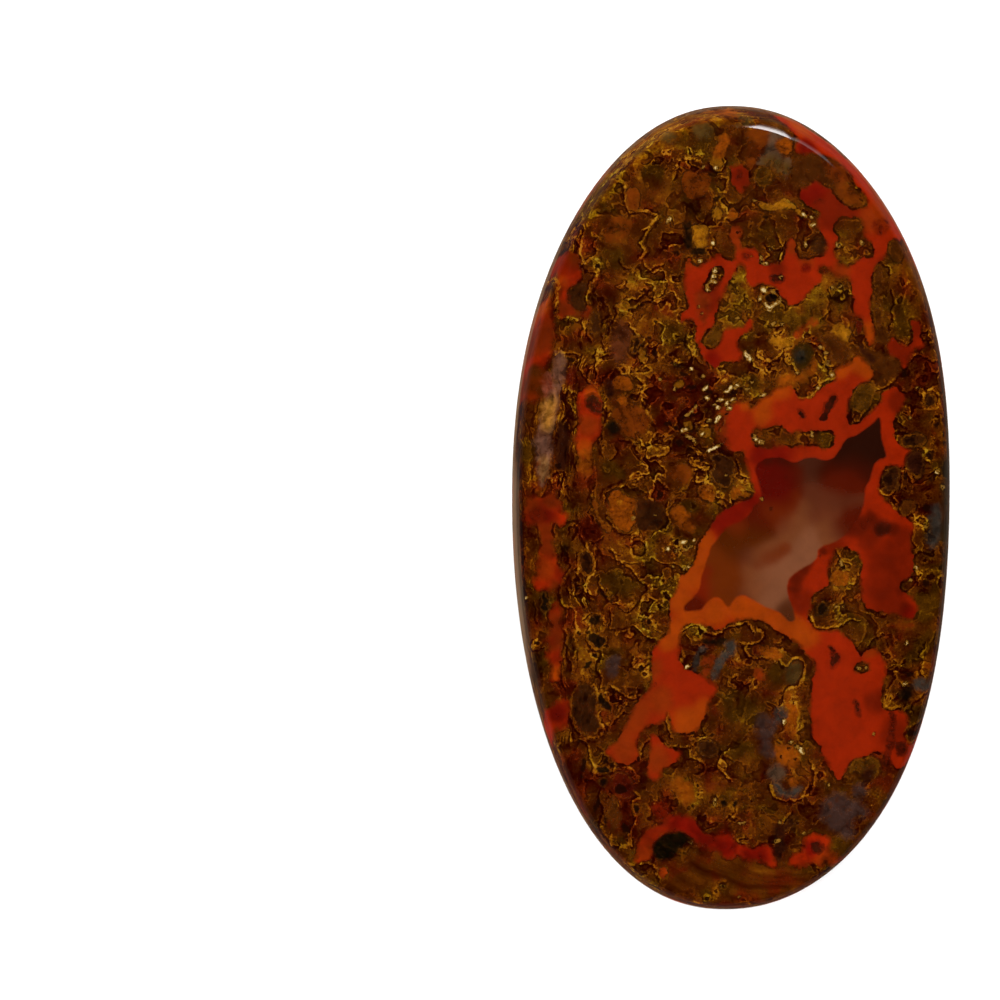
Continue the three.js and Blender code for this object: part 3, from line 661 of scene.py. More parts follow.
# Threads: gold ones, brightest first, and dark ones
threads = {
    "bright": [
        [554,272, 558,278, 559,286, 556,292, 558,300, 557,308, 557,316, 563,319, 570,317, 577,320],
        [583,322, 584,328, 582,335], [597,352, 597,358, 600,361], [631,326, 636,333, 641,337, 646,342,
        645,346, 640,348, 639,353], [643,230, 650,225, 657,216, 652,213, 645,211], [654,222, 648,230,
        644,238, 641,245, 646,250, 640,258], [691,461, 695,466, 701,467, 703,462, 709,464, 714,467,
        714,470], [697,477, 697,482, 704,482, 706,477, 705,470, 708,468], [704,484, 711,484, 716,490,
        717,496], [631,476, 638,472, 645,474, 649,470, 646,464, 642,462, 641,457], [652,500, 650,494,
        654,488, 652,483, 657,479, 663,482, 667,487], [668,505, 666,512, 668,518, 669,524, 666,529,
        660,531, 654,535], [587,545, 588,551, 593,555, 595,562, 594,572, 589,577, 586,583], [682,630,
        688,625, 695,624, 701,626, 706,632, 713,634, 720,632, 726,627, 733,625, 740,624, 747,622,
        752,626, 754,631], [743,643, 750,644, 757,642, 762,638, 763,632, 758,630], [745,648, 747,654,
        751,657, 759,657, 767,657, 772,652], [780,660, 784,666, 789,664, 791,659, 797,657, 803,661,
        805,669, 803,678, 798,685, 790,688, 786,693, 785,700], [795,704, 799,713, 798,722, 796,730],
        [728,750, 724,753, 720,758, 719,764, 722,770, 726,774, 730,779], [771,785, 772,792, 776,797,
        783,800, 790,800, 797,799, 803,795, 806,790, 808,785], [620,768, 627,767, 633,770, 638,776,
        639,781, 632,786, 636,791, 640,797, 633,802, 635,810, 636,820, 633,829, 630,837, 629,845,
        623,848, 618,844], [582,740, 587,743, 590,752, 593,762, 597,772], [585,738, 592,737, 600,736,
        604,730, 601,722, 597,712], [810,618, 815,625, 820,628, 830,627, 838,626, 845,622, 850,619,
        857,620], [879,490, 883,494, 890,495, 894,492], [893,497, 897,501, 899,507, 896,510, 892,504],
        [916,520, 921,517, 926,519, 928,525, 926,529, 921,526, 918,524], [813,343, 820,346, 825,351,
        826,358], [797,397, 804,398, 812,397, 815,392, 820,386], [782,824, 786,818, 790,813], [762,203,
        769,206, 777,205, 783,200, 789,203, 796,208, 803,214], [758,352, 759,357, 765,361, 772,361,
        778,358, 781,353], [789,354, 791,361, 794,367, 800,373], [711,164, 714,169, 719,170, 723,166,
        724,161], [611,836, 610,843, 617,846, 624,845, 631,845, 630,838, 627,833], [641,863, 647,862,
        653,865, 657,868, 656,874, 659,880]],
    "gold": [
        [592,272, 597,273, 597,278, 592,281, 590,285, 592,290, 588,293, 587,299, 589,306, 586,312,
        585,318, 586,324], [575,226, 574,232, 577,238, 580,245, 579,252, 578,258, 581,263], [597,240,
        595,246, 599,251, 594,257, 588,261, 585,265, 587,270], [618,306, 624,305, 629,309, 636,307,
        640,302, 648,299, 656,301, 664,299], [648,283, 654,286, 651,291, 648,295, 653,298, 659,296,
        663,291, 664,284], [563,363, 567,367, 574,367], [569,392, 576,391, 580,394], [621,369, 624,367,
        627,370, 626,374, 622,374, 621,369], [637,449, 643,454, 651,457, 661,455, 667,452, 668,447,
        660,445, 652,446, 646,449], [627,482, 633,485, 640,488, 645,492], [604,500, 605,492, 611,489,
        618,487, 624,485], [590,540, 596,541, 601,538], [655,589, 649,592, 644,595, 642,601, 640,606],
        [600,578, 601,588, 606,595, 613,601, 620,604, 627,605, 634,602], [583,618, 588,613, 595,613,
        602,616, 604,622], [569,588, 572,593, 577,594, 582,590, 580,584, 576,582], [588,744, 591,751,
        592,758, 595,766, 594,773], [600,760, 603,754, 607,756, 610,762, 608,768], [598,692, 602,690,
        606,696, 611,703, 612,710], [612,722, 616,717, 622,713, 626,706], [607,770, 613,771, 619,768,
        625,771, 631,776, 638,781], [641,756, 640,749, 644,743, 650,740], [687,338, 688,345, 691,350,
        693,357, 692,363], [731,390, 733,384, 738,380, 744,381, 742,386, 737,388], [697,404, 695,408,
        690,412, 685,415], [699,430, 704,425, 711,427, 712,434, 706,437], [721,178, 727,178, 728,184,
        726,190, 721,192, 718,189], [770,247, 776,249, 782,247, 784,243], [761,297, 763,290, 769,287,
        776,289, 780,296, 778,304, 771,307], [645,665, 648,660, 651,664, 646,668], [837,550, 841,555,
        842,561, 845,566], [884,695, 890,693, 893,698, 896,695], [625,187, 625,196, 627,205, 630,212,
        640,211, 652,213, 658,218], [648,270, 655,266, 662,265], [639,353, 641,359, 643,364], [621,365,
        628,366, 634,370, 640,369, 646,366, 652,369, 648,373, 640,374, 632,373], [638,378, 643,381,
        645,386, 642,392, 641,398, 645,402, 649,406, 646,413, 651,417, 654,423], [590,373, 589,379,
        594,385, 600,386, 599,392, 601,398, 604,403, 605,408, 602,412], [600,361, 596,366, 597,374,
        598,380], [556,355, 561,352, 570,352, 578,354, 580,360, 577,367], [563,362, 566,367, 571,370,
        571,376, 574,381, 571,386, 569,393, 570,401, 573,409, 576,416], [636,445, 642,444, 649,443,
        655,440, 661,436], [626,481, 631,479, 636,478, 640,482], [690,455, 696,452, 703,455], [738,462,
        740,468, 742,474, 745,476], [720,492, 724,495, 719,502, 724,504, 727,508, 731,505, 730,498],
        [579,555, 579,565, 577,573, 581,579, 580,585], [631,545, 634,541, 640,540, 646,543, 648,550,
        645,556, 638,558, 632,554, 631,548], [612,550, 616,555, 621,561, 628,566, 634,571, 639,578,
        645,584, 651,589], [560,600, 566,606, 572,607, 577,613, 576,622, 577,630, 574,637, 578,645,
        575,652, 572,660, 573,668], [590,630, 588,640, 592,646, 598,650, 604,645, 606,640], [608,590,
        614,597, 620,600], [613,686, 620,690, 625,696, 631,698, 636,697, 637,690], [634,660, 633,666,
        638,666, 642,664], [572,700, 571,710, 573,722, 579,731], [592,684, 597,692, 596,700, 597,712],
        [682,650, 684,656, 681,662, 685,668, 690,664], [668,713, 667,720, 669,728, 672,736], [664,744,
        668,746, 676,746, 690,746, 696,741, 703,738], [690,758, 698,758, 703,762, 706,768, 702,774,
        697,775], [737,806, 737,812, 733,817, 729,820], [868,645, 871,639, 877,636, 881,634], [884,652,
        890,653, 892,657, 888,660, 884,657], [889,668, 894,668, 899,664, 903,660], [895,660, 899,667,
        895,674, 900,681, 906,685], [897,679, 892,684, 889,692, 886,699, 883,707], [909,698, 914,700,
        919,697, 925,693], [911,712, 907,706, 903,709], [904,732, 908,728, 906,738, 910,742, 915,741],
        [909,722, 913,725, 919,721], [926,645, 924,651, 920,656, 925,660, 921,668, 923,674], [933,470,
        937,468, 940,474, 937,478], [902,469, 903,478, 901,487], [914,531, 913,538, 916,545, 918,551],
        [921,446, 926,450, 924,456, 928,461], [882,700, 886,706, 893,708, 900,706, 907,709, 911,702],
        [910,360, 914,355, 921,353, 927,357, 933,360, 939,362], [922,400, 924,393, 930,390, 937,393,
        940,400, 936,407, 929,409, 923,406, 922,400], [898,440, 901,446, 907,448, 913,445, 919,446],
        [905,466, 908,471, 910,477, 913,481, 917,478], [902,516, 907,515, 911,511, 913,513], [811,762,
        814,770, 815,780, 814,788, 808,795, 803,797], [816,776, 820,772, 824,776, 820,780, 816,776],
        [713,262, 709,256, 707,250, 712,246, 713,240], [673,178, 676,170, 680,160, 686,158, 693,158],
        [885,264, 890,267, 891,273], [893,292, 896,300, 893,310, 894,320, 891,330], [777,336, 783,340,
        790,338, 794,345, 787,350, 785,358, 789,364], [815,385, 822,381, 829,380, 835,377], [853,410,
        852,417, 857,420, 863,414, 867,409], [876,388, 884,387, 890,383, 895,378], [600,640, 602,655,
        598,668, 603,680, 600,690], [611,612, 613,620, 611,628]],
    "pale": [
        [590,318, 590,326, 588,333, 591,339], [609,318, 604,324, 602,331, 604,337], [614,322, 610,330,
        608,338, 609,346], [603,342, 605,349], [600,440, 602,448, 603,455], [612,458, 616,454, 615,450],
        [622,439, 630,440, 637,441], [684,433, 690,437, 694,441, 695,445], [551,452, 550,460, 548,468,
        546,476, 544,484], [556,430, 554,436, 558,440, 559,448], [551,478, 554,472, 561,471, 567,475,
        569,484, 566,491, 569,498], [553,482, 557,477, 562,480, 563,487, 561,494], [612,372, 606,380,
        604,390, 607,398], [611,415, 604,424, 602,434, 605,444], [628,396, 631,393, 636,393, 639,396,
        637,400, 631,401, 628,396], [622,261, 624,266, 629,267], [617,308, 618,313, 616,319], [563,545,
        566,549, 570,555, 569,561, 572,566, 569,572, 564,578, 561,585, 561,596], [567,533, 568,527,
        573,524, 579,527, 579,533, 574,539], [611,797, 616,803, 618,812, 616,822], [594,462, 594,470,
        596,478, 596,486, 594,494, 593,502], [580,533, 583,538, 587,542], [608,517, 612,524, 617,530,
        624,533, 630,533], [620,607, 626,610, 632,607, 636,603], [547,584, 549,590, 550,598, 549,606,
        550,612], [535,604, 537,612, 538,621], [563,628, 568,634, 566,642, 570,648, 568,655, 570,660],
        [622,701, 626,705, 624,710], [602,790, 600,799, 605,808, 603,818, 600,827, 605,834, 612,840],
        [613,792, 617,797, 620,801, 621,806], [598,774, 604,773, 610,773], [625,770, 630,774, 635,778,
        639,781], [895,432, 900,430, 907,433], [893,720, 891,729, 889,738, 888,748], [905,461, 906,455,
        910,451, 916,450], [915,553, 921,550, 926,553, 932,551], [926,576, 929,571, 934,572, 936,577,
        932,581, 927,579], [914,566, 918,571, 917,578, 918,583], [921,378, 924,373, 929,376, 928,382,
        # painted highlights: the pale threads from 848,172 to 857,187 and from 620,170 to 634,157 lie
        # along the shoulder
        923,383, 921,379], [804,244, 808,240, 813,239], [836,246, 839,243, 842,245], [848,172, 852,180,
        857,187], [620,170, 627,164, 634,157], [873,611, 878,614, 884,614], [770,326, 775,327, 779,324],
        [829,367, 831,373, 834,377], [830,290, 833,296, 838,295, 842,291, 840,286], [822,318, 825,314,
        828,310], [535,640, 531,645, 536,649, 541,648]],
    "dark": [
        [556,267, 552,272, 552,282, 554,290, 554,299, 552,307, 553,316, 559,321, 568,322, 578,323],
        [649,215, 660,218, 653,228, 648,236, 645,244, 650,250, 644,259], [597,283, 594,290, 592,297,
        593,305], [598,262, 600,270, 601,278], [645,414, 648,419, 653,425], [601,497, 603,489, 610,486,
        617,484, 625,482, 633,488, 641,497], [560,372, 561,382, 560,392, 562,402], [557,402, 556,412,
        554,422, 551,430], [566,398, 568,408, 572,417], [552,438, 550,446, 553,456], [566,522, 575,521,
        580,525, 584,532], [572,572, 567,579, 564,586], [597,546, 599,554, 603,561], [547,585, 545,592,
        541,598], [541,573, 538,580, 536,588], [553,613, 549,618, 547,626], [568,629, 572,635, 571,642,
        575,648, 573,656], [574,690, 578,683, 585,683, 591,688, 595,695], [588,742, 596,741, 603,738,
        607,731], [636,746, 637,736, 643,730, 652,726], [660,770, 667,766, 676,767], [523,500, 522,530,
        523,560, 524,590, 526,600], [523,395, 520,420, 519,450, 519,480], [627,345, 634,352, 637,360,
        634,366], [655,430, 660,440, 671,443, 676,437], [612,629, 620,630, 627,628], [590,455, 592,470,
        590,486, 588,500], [576,462, 575,476, 573,490], [604,405, 607,415, 602,428]],
}

# Bright crystal flecks, their sparkle painted in as a glint: column, row, half length, half width,
# turn in degrees, strength
glintFlecks = [(698.5,307,1.2,1.4,0,0.5), (701.5,313.5,1.2,1.4,0,0.6), (781,277,1.6,1.6,0,0.6),
    (752,256,1.4,1,0,0.4), (773,292,3,1.2,-30,0.6), (780,299,1.5,2.4,10,0.8), (775,304,3,1.2,20,0.7),
    (766,304,2,1.3,-30,0.7), (771,248,1.4,2,-30,0.6), (748,357,6,2,-50,1), (746,353,2.5,1.4,-60,0.7),
    (716,447,7,1.2,25,1), (710,450,4,1.3,35,0.9), (755,438,4,1.4,-50,1), (761,442,3,1.4,-20,1),
    (702.5,434,2.2,1.5,20,0.9), (736.5,386,3,1.9,42,1), (705.5,388,3.2,1.8,45,1), (727,391,3,1.2,8,0.9),
    (730.5,387.5,2.4,1.4,60,0.8), (718,407.5,1.9,2,0,0.9), (718.5,417.5,2.5,1.7,25,1),
    (716,421.5,2.6,1.3,30,0.8), (709.5,421,1.7,1.7,0,0.9), (720,400,3.4,1.5,12,0.9),
    (727,403.5,2.6,1.5,55,0.9), (729,409,2.7,1.5,20,0.9), (707,398,2.4,1.6,-35,0.9),
    (733,399.5,2.8,1.3,40,0.7), (714,405,1.7,1.2,30,0.7), (703,376.5,1.8,1.4,45,0.7),
    (695.5,406.5,1.8,1.2,50,0.6), (692,411.5,2.4,1.1,50,0.6), (687,415,3,1.1,25,0.6),
    (689,437,4,1.1,-25,0.7), (694.5,440.5,2.6,1.2,-60,0.7), (675,389,1.4,2.4,0,0.5),
    (691,369,1.6,1.6,0,1), (686.5,429,2.4,1.3,12,0.9), (682,431,1.6,2,0,0.8), (763,395,3.4,1.4,20,0.7),
    (752,382,3,1.1,20,0.6), (747,389,2.8,1.1,10,0.5), (715,270,2.2,2,0,1), (714,276,2.4,2,60,0.9),
    (710,281,2,1.4,40,0.7), (714,282,2.6,1.3,-20,0.8), (708,290,2.6,1.4,-30,0.8),
    (707,286,1.6,1.2,0,0.6), (764,290,3.6,2,-30,1), (760,299,1.6,3,0,0.7), (770,307,4.4,1.5,0,0.8),
    (769,310,1.8,1.8,0,0.9), (779,301,1.6,3.2,0,0.6), (773,324,3.4,1.4,30,0.6), (782,324,2.2,1.2,0,0.6),
    (738,318,3,1.2,0,0.5), (764,263,4,1.2,-15,0.9), (761,258,1.4,2.2,0,0.6), (700,261,2,1.6,0,0.8),
    (713,243,1.4,2.4,20,0.9), (716,168,2.2,1.5,0,0.9), (669,220,3.6,1.8,60,0.8),
    (703,167,1.4,1.4,0,0.7), (754,200,3,1,0,0.6), (804,215,3.2,1.4,-45,0.9), (812,217,2,1.3,0,0.7),
    (813,225,2.6,1.5,20,0.9), (806,245,1.2,3.4,20,0.8), (838,245,1.4,3,25,0.8),
    (862,243,1.6,2.6,20,0.7), (832,288,1.8,1.6,0,0.7), (840,286,1.8,1.4,30,0.7),
    (820,347,2.4,1.4,-20,0.8), (832,375,2.6,1.8,0,0.7), (683,542,4.2,1.6,5,0.8), (668,549,2.6,2,0,0.8),
    (677,550,3,1.4,30,0.7), (686,549,1.8,1.6,0,0.7), (691,546,1.4,1.4,0,0.7), (694,540,1.6,1.2,0,0.7),
    (688,567,1.5,1.2,0,0.9), (684,569,1.4,1.2,0,0.7), (673,567,1.6,1.2,0,0.5),
    (762,499,1.8,1.1,-20,0.6), (771,509,2.8,0.8,0,0.5), (726,475,1.5,1.2,0,0.5),
    (786,477,1.2,1.2,0,0.3), (633,518,1.3,1.6,0,0.8), (687,667,2.6,1.6,25,0.9), (784,722,1.8,2.6,0,1),
    (801,750,5,2,-50,1), (791,742,1.8,1.4,0,0.8), (796,746,1.6,1.2,0,0.7), (742,823,3.6,1.3,0,0.7),
    (715,802,1.2,5,0,0.6), (907,643,1.6,1.8,0,1), (916,568,1.6,2.4,0,0.9), (911,580,1.6,1.6,0,0.6),
    (905,684,2.6,1.8,10,0.7), (859,668,2.6,1.3,-30,0.6), (866,668,1.2,2.4,0,0.5),
    (841,563,1.4,4,25,0.6), (836,606,1.6,1.4,0,0.7), (844,606,1.4,1.6,0,0.7), (937,472,2.2,2.4,0,0.8),
    (943,487,1.6,3.2,10,0.7), (926,526,1.4,2.6,20,0.6), (812,434,1.2,3.4,10,0.7),
    (910,418,1.4,1.4,0,0.6), (918,388,2.6,1.2,0,0.5), (874,734,1.4,1.4,0,0.6), (526,597,1.3,1.3,0,0.7),
    (660,379,1.4,1.4,0,0.6), (655,515,1.6,1.2,0,0.4), (820,556,1.2,1.6,0,0.3), (804,833,1.4,1.2,0,0.6),
    (829,785,1.2,1.2,0,0.6), (826,353,1.8,1.4,0,0.8), (828,363,2.4,2.6,0,0.6), (818,388,1.8,1.4,0,0.7),
    (798,373,2.2,1.2,0,0.7), (690,843,4,1,-20,0.3), (722,886,4.5,2,0,0.3), (777,841,4.5,1.4,10,0.6),
    (739,897,1.4,1.4,0,0.5), (780,822,1.6,1.6,0,0.6)]

# Dark pits: column, row, half length, half width, turn in degrees, gold ring
pits = [(605,822,2.6,6,0,0), (626,829,4.5,6,20,0), (620,789,7,5,-20,0), (583,768,3,9,-12,0),
    (597,805,2.6,7,-20,0), (600,838,2.4,4,-30,0), (708,391,3.4,2.2,-20,0), (692,387,7,1.7,5,0),
    (676,428,6,2.6,-35,0), (680,443,4.5,3.6,0,0), (687,416.5,6,1.4,15,0), (716,459,5,2.6,0,0),
    (703,459.5,6,1.8,0,0), (693,431,5,1.8,5,0), (733,393,7,2,28,0), (714,411,2.4,3,0,0),
    (712,424,4,1.5,25,0), (727,413,2.2,1.8,0,0), (676,365,4,2.4,-20,0), (684,374,6,2.6,0,0),
    (662,488,4,2,0,0), (927,507,5,4,0,0), (912,440,6,2.6,5,0), (904,374,2.6,4,0,0), (905,476,1.8,4,0,0),
    (929,480,2.4,2,0,0), (926,583,3,4,0,0), (942,395,1.8,5,0,0), (944,440,1.6,4,0,0),
    (941,566,1.6,3,0,0), (889,479,3,4,0,0), (908,674,4,2.6,0,0), (913,733,4,3,0,0.3),
    (595,655,2.2,1.8,0,0.5), (586,623,1.8,1.4,0,0.6), (606,597,8,1.9,-42,0), (557,466,3.6,2.6,0,0),
    (692,734,3.2,1.8,0,0.3), (712,736,4.2,1.4,0,0.3), (697,785,2.4,1.8,0,0.4), (698,795,1.8,1.8,0,0.4),
    (537,643,2.8,2.2,0,0.8), (676,253,3,2.2,0,0.3), (703,653,4,2,20,0), (597,266,1.8,4,0,0.8),
    (571,359,4,3,0,0), (632,397,1.6,1.6,0,0), (667,424,3.6,3,0,0), (660,495,4,5,0,0.3),
    (586,559,2.8,3.4,0,0.3), (586,570,2.2,3,0,0.3), (565,549,2,4,0,0), (577,588,2.6,2.4,0,0.3),
    (643,622,1.4,3.6,0,0.3), (649,621,2,4.4,0,0.4), (526,601,2.2,2,0,0), (629,553,3,2,-30,0.2),
    (639,758,1.8,4,0,0), (605,761,2.2,3.4,0,0), (580,742,3,1.6,30,0), (645,290,2,1.4,0,0.4),
    (660,270,1.4,1.4,0,0.3), (633,288,1.4,1.4,0,0.4), (628,283,1.4,1.2,0,0.4), (642,305,1.4,1.2,0,0.3),
    (656,321,1.6,1.4,0,0.4), (650,338,1.4,1.4,0,0.3), (588,632,1.6,1.4,0,0.5), (578,633,1.4,1.6,0,0.4),
    (606,646,1.6,1.4,0,0.3), (641,657,2,1.6,0,0.4), (640,669,4,1.8,10,0.4), (626,675,1.6,2.4,0,0.3),
    (656,683,1.4,1.8,0,0.3), (633,693,2.2,1.6,0,0.3), (624,700,2,1.4,-40,0.2), (612,765,2,1.6,0,0.3),
    (704,753,2,1.4,0,0.3), (778,742,2,1.6,0,0.6), (788,748,1.8,1.4,0,0.6), (795,760,2,1.8,0,0.6),
    (781,757,1.4,1.4,0,0.5), (790,771,1.6,1.4,0,0.5), (700,768,1.6,1.4,0,0.4), (693,806,1.8,1.6,0,0.4),
    (748,812,2,1.6,0,0.3), (762,826,1.8,1.4,0,0.3), (843,566,2.4,3,0,0.3), (911,732,4.6,4.6,0,0.3),
    (716,198,6,3,10,0), (738,232,2,1.6,0,0), (765,217,3,1.8,0,0.2), (690,262,2.2,1.6,0,0),
    (822,271,1.6,1.6,0,0), (655,352,2.6,4,0,0.4), (648,445,2.2,1.4,0,0.3), (568,246,3.4,3,0,0),
    (930,455,3,4,0,0.3), (937,425,2,3,0,0)]

reach = 8.0  # how far from an edge the distances are kept, in pixels


def rounded(outline, closed, steps=3):
    # The given points joined by a smooth curve through all of them
    points = np.array(outline, float).reshape(-1, 2)
    count = len(points)
    curve = []
    for i in range(count if closed else count - 1):
        near = [i + k for k in (-1, 0, 1, 2)]
        pick = [k % count if closed else min(max(k, 0), count - 1) for k in near]
        a, b, c, d = points[pick]
        for t in np.arange(steps) / steps:
            curve.append(0.5 * (2 * b + (c - a) * t + (2 * a - 5 * b + 4 * c - d) * t ** 2
                                + (3 * b - a - 3 * c + d) * t ** 3))
    curve.append(points[0] if closed else points[-1])
    return np.array(curve)


def distances(column, row, outline, closed=True):
    # Which points are near the outline, and how far off: positive inside a closed outline.
    # For an open line, the side on which each point lies comes as well.
    curve = rounded(outline, closed)
    lowest, highest = curve.min(axis=0) - reach, curve.max(axis=0) + reach
    near = np.flatnonzero((column > lowest[0]) & (column < highest[0])
                          & (row > lowest[1]) & (row < highest[1]))
    x, y = column[near], row[near]
    best = np.full(len(near), reach)
    side = np.ones(len(near))
    inside = np.zeros(len(near), bool)
    for (ax, ay), (bx, by) in zip(curve[:-1], curve[1:]):
        dx, dy = bx - ax, by - ay
        along = np.clip(((x - ax) * dx + (y - ay) * dy) / max(dx * dx + dy * dy, 1e-9), 0, 1)
        gap = np.hypot(x - ax - along * dx, y - ay - along * dy)
        closer = gap < best
        best = np.where(closer, gap, best)
        side = np.where(closer, np.sign(dx * (y - ay) - dy * (x - ax)), side)
        if closed and ay != by:
            inside ^= ((ay > y) != (by > y)) & (x < dx * (y - ay) / dy + ax)
    if closed:
        return near, np.where(inside, best, -best)
    return near, best, side


def areaField(column, row, outlines):
    # Distance to the nearest edge, positive inside any of the areas
    field = np.full(len(column), -reach)
    for outline in outlines:
        near, gap = distances(column, row, outline)
        field[near] = np.maximum(field[near], gap)
    return field


def linear(tone):
    # The tone as light, which is what a material mixes
    share = np.array(tone) / 255
    return np.where(share <= 0.04045, share / 12.92, ((share + 0.055) / 1.055) ** 2.4)


def spreadTones(column, row, centres, values, default, defaultWeight, blend=1.0):
    # Soft patches that run into each other, more so with a larger blend
    total = np.full(len(column), defaultWeight)
    mixed = np.tile(np.array(default, float) * defaultWeight, (len(column), 1))
    for name, places in centres.items():
        for cx, cy, size in places:
            weight = np.exp(-((column - cx) ** 2 + (row - cy) ** 2) / (blend * size) ** 2)
            total += weight
            mixed += weight[:, None] * np.array(values[name])
    return mixed / total[:, None]


def turned(column, row, spot):
    # Distances from the middle of a fleck or pit, along and across it
    cx, cy, turn = spot[0], spot[1], math.radians(spot[4])
    c, s = math.cos(turn), math.sin(turn)
    dx, dy = column - cx, cy - row
    return dx * c + dy * s, dy * c - dx * s


def store(mesh, name, values):
    kind = "FLOAT" if values.ndim == 1 else "FLOAT_COLOR"
    if values.ndim == 2 and values.shape[1] == 3:
        values = np.column_stack([values, np.ones(len(values))])
    slot = mesh.attributes.new(name, kind, "POINT")
    part = "value" if kind == "FLOAT" else "color"
    slot.data.foreach_set(part, values.astype(np.float32).ravel())


# How the marks follow the stone below its shoulder
markSettings = {
    "slant": 5.0,  # pixels that a mark drifts sideways for each millimetre down the side
    "wander": 3.0,  # how far patches of moss are pushed about, in pixels
    "wanderSize": 0.7,  # millimetres
    "wanderSeed": 5,
    "shoulderHeight": 4.0,  # above this the marks lie as traced
    "jasperWeight": 0.05,  # how strongly the main tone holds between the patches
    "windowWeight": 0.01,
    "mossWeight": 0.1,
    "windowBlend": 1.7,
    "glintFleckMargin": 0.6,  # pixels that a fleck reaches past its size
    "threadLight": {"bright": 1.0, "gold": 0.6, "pale": 0.3, "dark": -1.0},
}


def traceMarks(stone, m):
    mesh = stone.data
    flat = np.empty(len(mesh.vertices) * 3)
    mesh.vertices.foreach_get("co", flat)
    places = flat.reshape(-1, 3) / metre
    scale = picture["mmPerPixel"] * (cameraPlace[2] - places[:, 2]) / picture["distance"]
    column = picture["side"] / 2 + (places[:, 0] - cameraPlace[0]) / scale
    row = picture["side"] / 2 - (places[:, 1] - cameraPlace[1]) / scale
    below = np.clip(m["shoulderHeight"] - places[:, 2], 0, None)
    outwards = np.arctan2(places[:, 1] / length, places[:, 0] / width)
    column = column + m["slant"] * below * np.sin(outwards)
    row = row + m["slant"] * below * np.cos(outwards)
    noise.seed_set(m["wanderSeed"])
    push = np.array([noise.noise_vector(Vector(p) / m["wanderSize"]) for p in places])
    softColumn = column + m["wander"] * push[:, 0]
    softRow = row + m["wander"] * push[:, 1]

    red = areaField(column, row, jasper.values())
    red = np.minimum(red, -areaField(column, row, jasperHoles.values()))
    store(mesh, "jasper", red)
    toneLight = {name: linear(tone) for name, tone in tones.items()}
    store(mesh, "jasperTone", spreadTones(
        softColumn, softRow, jasperTones, toneLight, toneLight["scarlet"], m["jasperWeight"]))
    store(mesh, "window", areaField(column, row, [windowOutline]))
    store(mesh, "windowTone", spreadTones(
        column, row, windowTones, toneLight, toneLight["maroon"], m["windowWeight"],
        m["windowBlend"]))
    store(mesh, "moss", spreadTones(
        softColumn, softRow, mossPatches, mossKinds, mossKinds["brown"], m["mossWeight"]))

    # A cell that lies on an earlier one runs into it softly
    cell = np.full(len(column), -reach)
    cellTone = np.zeros((len(column), 4))
    cellSoft = np.ones(len(column))
    for tone, rim, softness, outline in cells.values():
        near, signed = distances(column, row, outline)
        before = cell[near]
        over = before > 0
        taken = over | (signed > before)
        share = np.where(over, np.clip(0.5 + signed / (2 * softness), 0, 1), 1.0)[taken, None]
        cellSoft[near] = np.where(~over & taken, softness, cellSoft[near])
        cell[near] = np.maximum(before, signed)
        cellTone[near[taken]] = (cellTone[near[taken]] * (1 - share)
                                 + np.array([*toneLight[tone], 0.5 + rim / 2]) * share)
    store(mesh, "cell", cell)
    store(mesh, "cellTone", cellTone)
    store(mesh, "cellSoft", cellSoft)

    threadNear = np.full(len(column), reach)
    threadSide = np.full(len(column), reach)
    threadLight = np.zeros(len(column))
    for group, strength in m["threadLight"].items():
        for line in threads[group]:
            near, gap, side = distances(column, row, line, closed=False)
            ahead = gap < threadNear[near]
            taken = near[ahead]
            threadNear[taken] = gap[ahead]
            threadSide[taken] = gap[ahead] * side[ahead]
            threadLight[taken] = strength
    store(mesh, "threadNear", threadNear)
    store(mesh, "threadSide", threadSide)
    store(mesh, "threadLight", threadLight)

    glintFleck = np.zeros(len(column))
    for spot in glintFlecks:
        halfLength, halfWidth, strength = spot[2], spot[3], spot[5]
        lengthwise, sideways = turned(column, row, spot)
        far = np.hypot(lengthwise / (halfLength + m["glintFleckMargin"]),
                       sideways / (halfWidth + m["glintFleckMargin"]))
        glintFleck = np.maximum(glintFleck, strength * np.clip(1.6 - 1.2 * far, 0, 1))
    store(mesh, "glintFleck", glintFleck)

    pit = np.full(len(column), -reach)
    pitRing = np.zeros(len(column))
    for spot in pits:
        halfLength, halfWidth, ring = spot[2], spot[3], spot[5]
        lengthwise, sideways = turned(column, row, spot)
        far = np.hypot(lengthwise / halfLength, sideways / halfWidth)
        gap = (1 - far) * min(halfLength, halfWidth)
        ahead = gap > pit
        pit[ahead] = gap[ahead]
        pitRing[ahead] = ring
    store(mesh, "pit", pit)
    store(mesh, "pitRing", pitRing)


traceMarks(stone, markSettings)
print("markings traced:", len(jasper), "jasper areas,", len(cells), "cells,",
      sum(len(group) for group in threads.values()), "threads")


# The agate itself

class Wire:
    # A socket's value, on which Python's signs add Math nodes
    def __init__(self, graph, socket):
        self.graph = graph
        self.socket = socket

    def math(self, operation, *others):
        values = dict(enumerate((self,) + others))
        return self.graph.node("ShaderNodeMath", {"operation": operation}, values)[0]

    def __add__(self, other):
        return self.math("ADD", other)

    def __sub__(self, other):
        return self.math("SUBTRACT", other)

    def __rsub__(self, other):
        return self * -1 + other

    def __mul__(self, other):
        return self.math("MULTIPLY", other)

    def __truediv__(self, other):
        return self.math("DIVIDE", other)

    def __abs__(self):
        return self.math("ABSOLUTE")

    __radd__ = __add__
    __rmul__ = __mul__


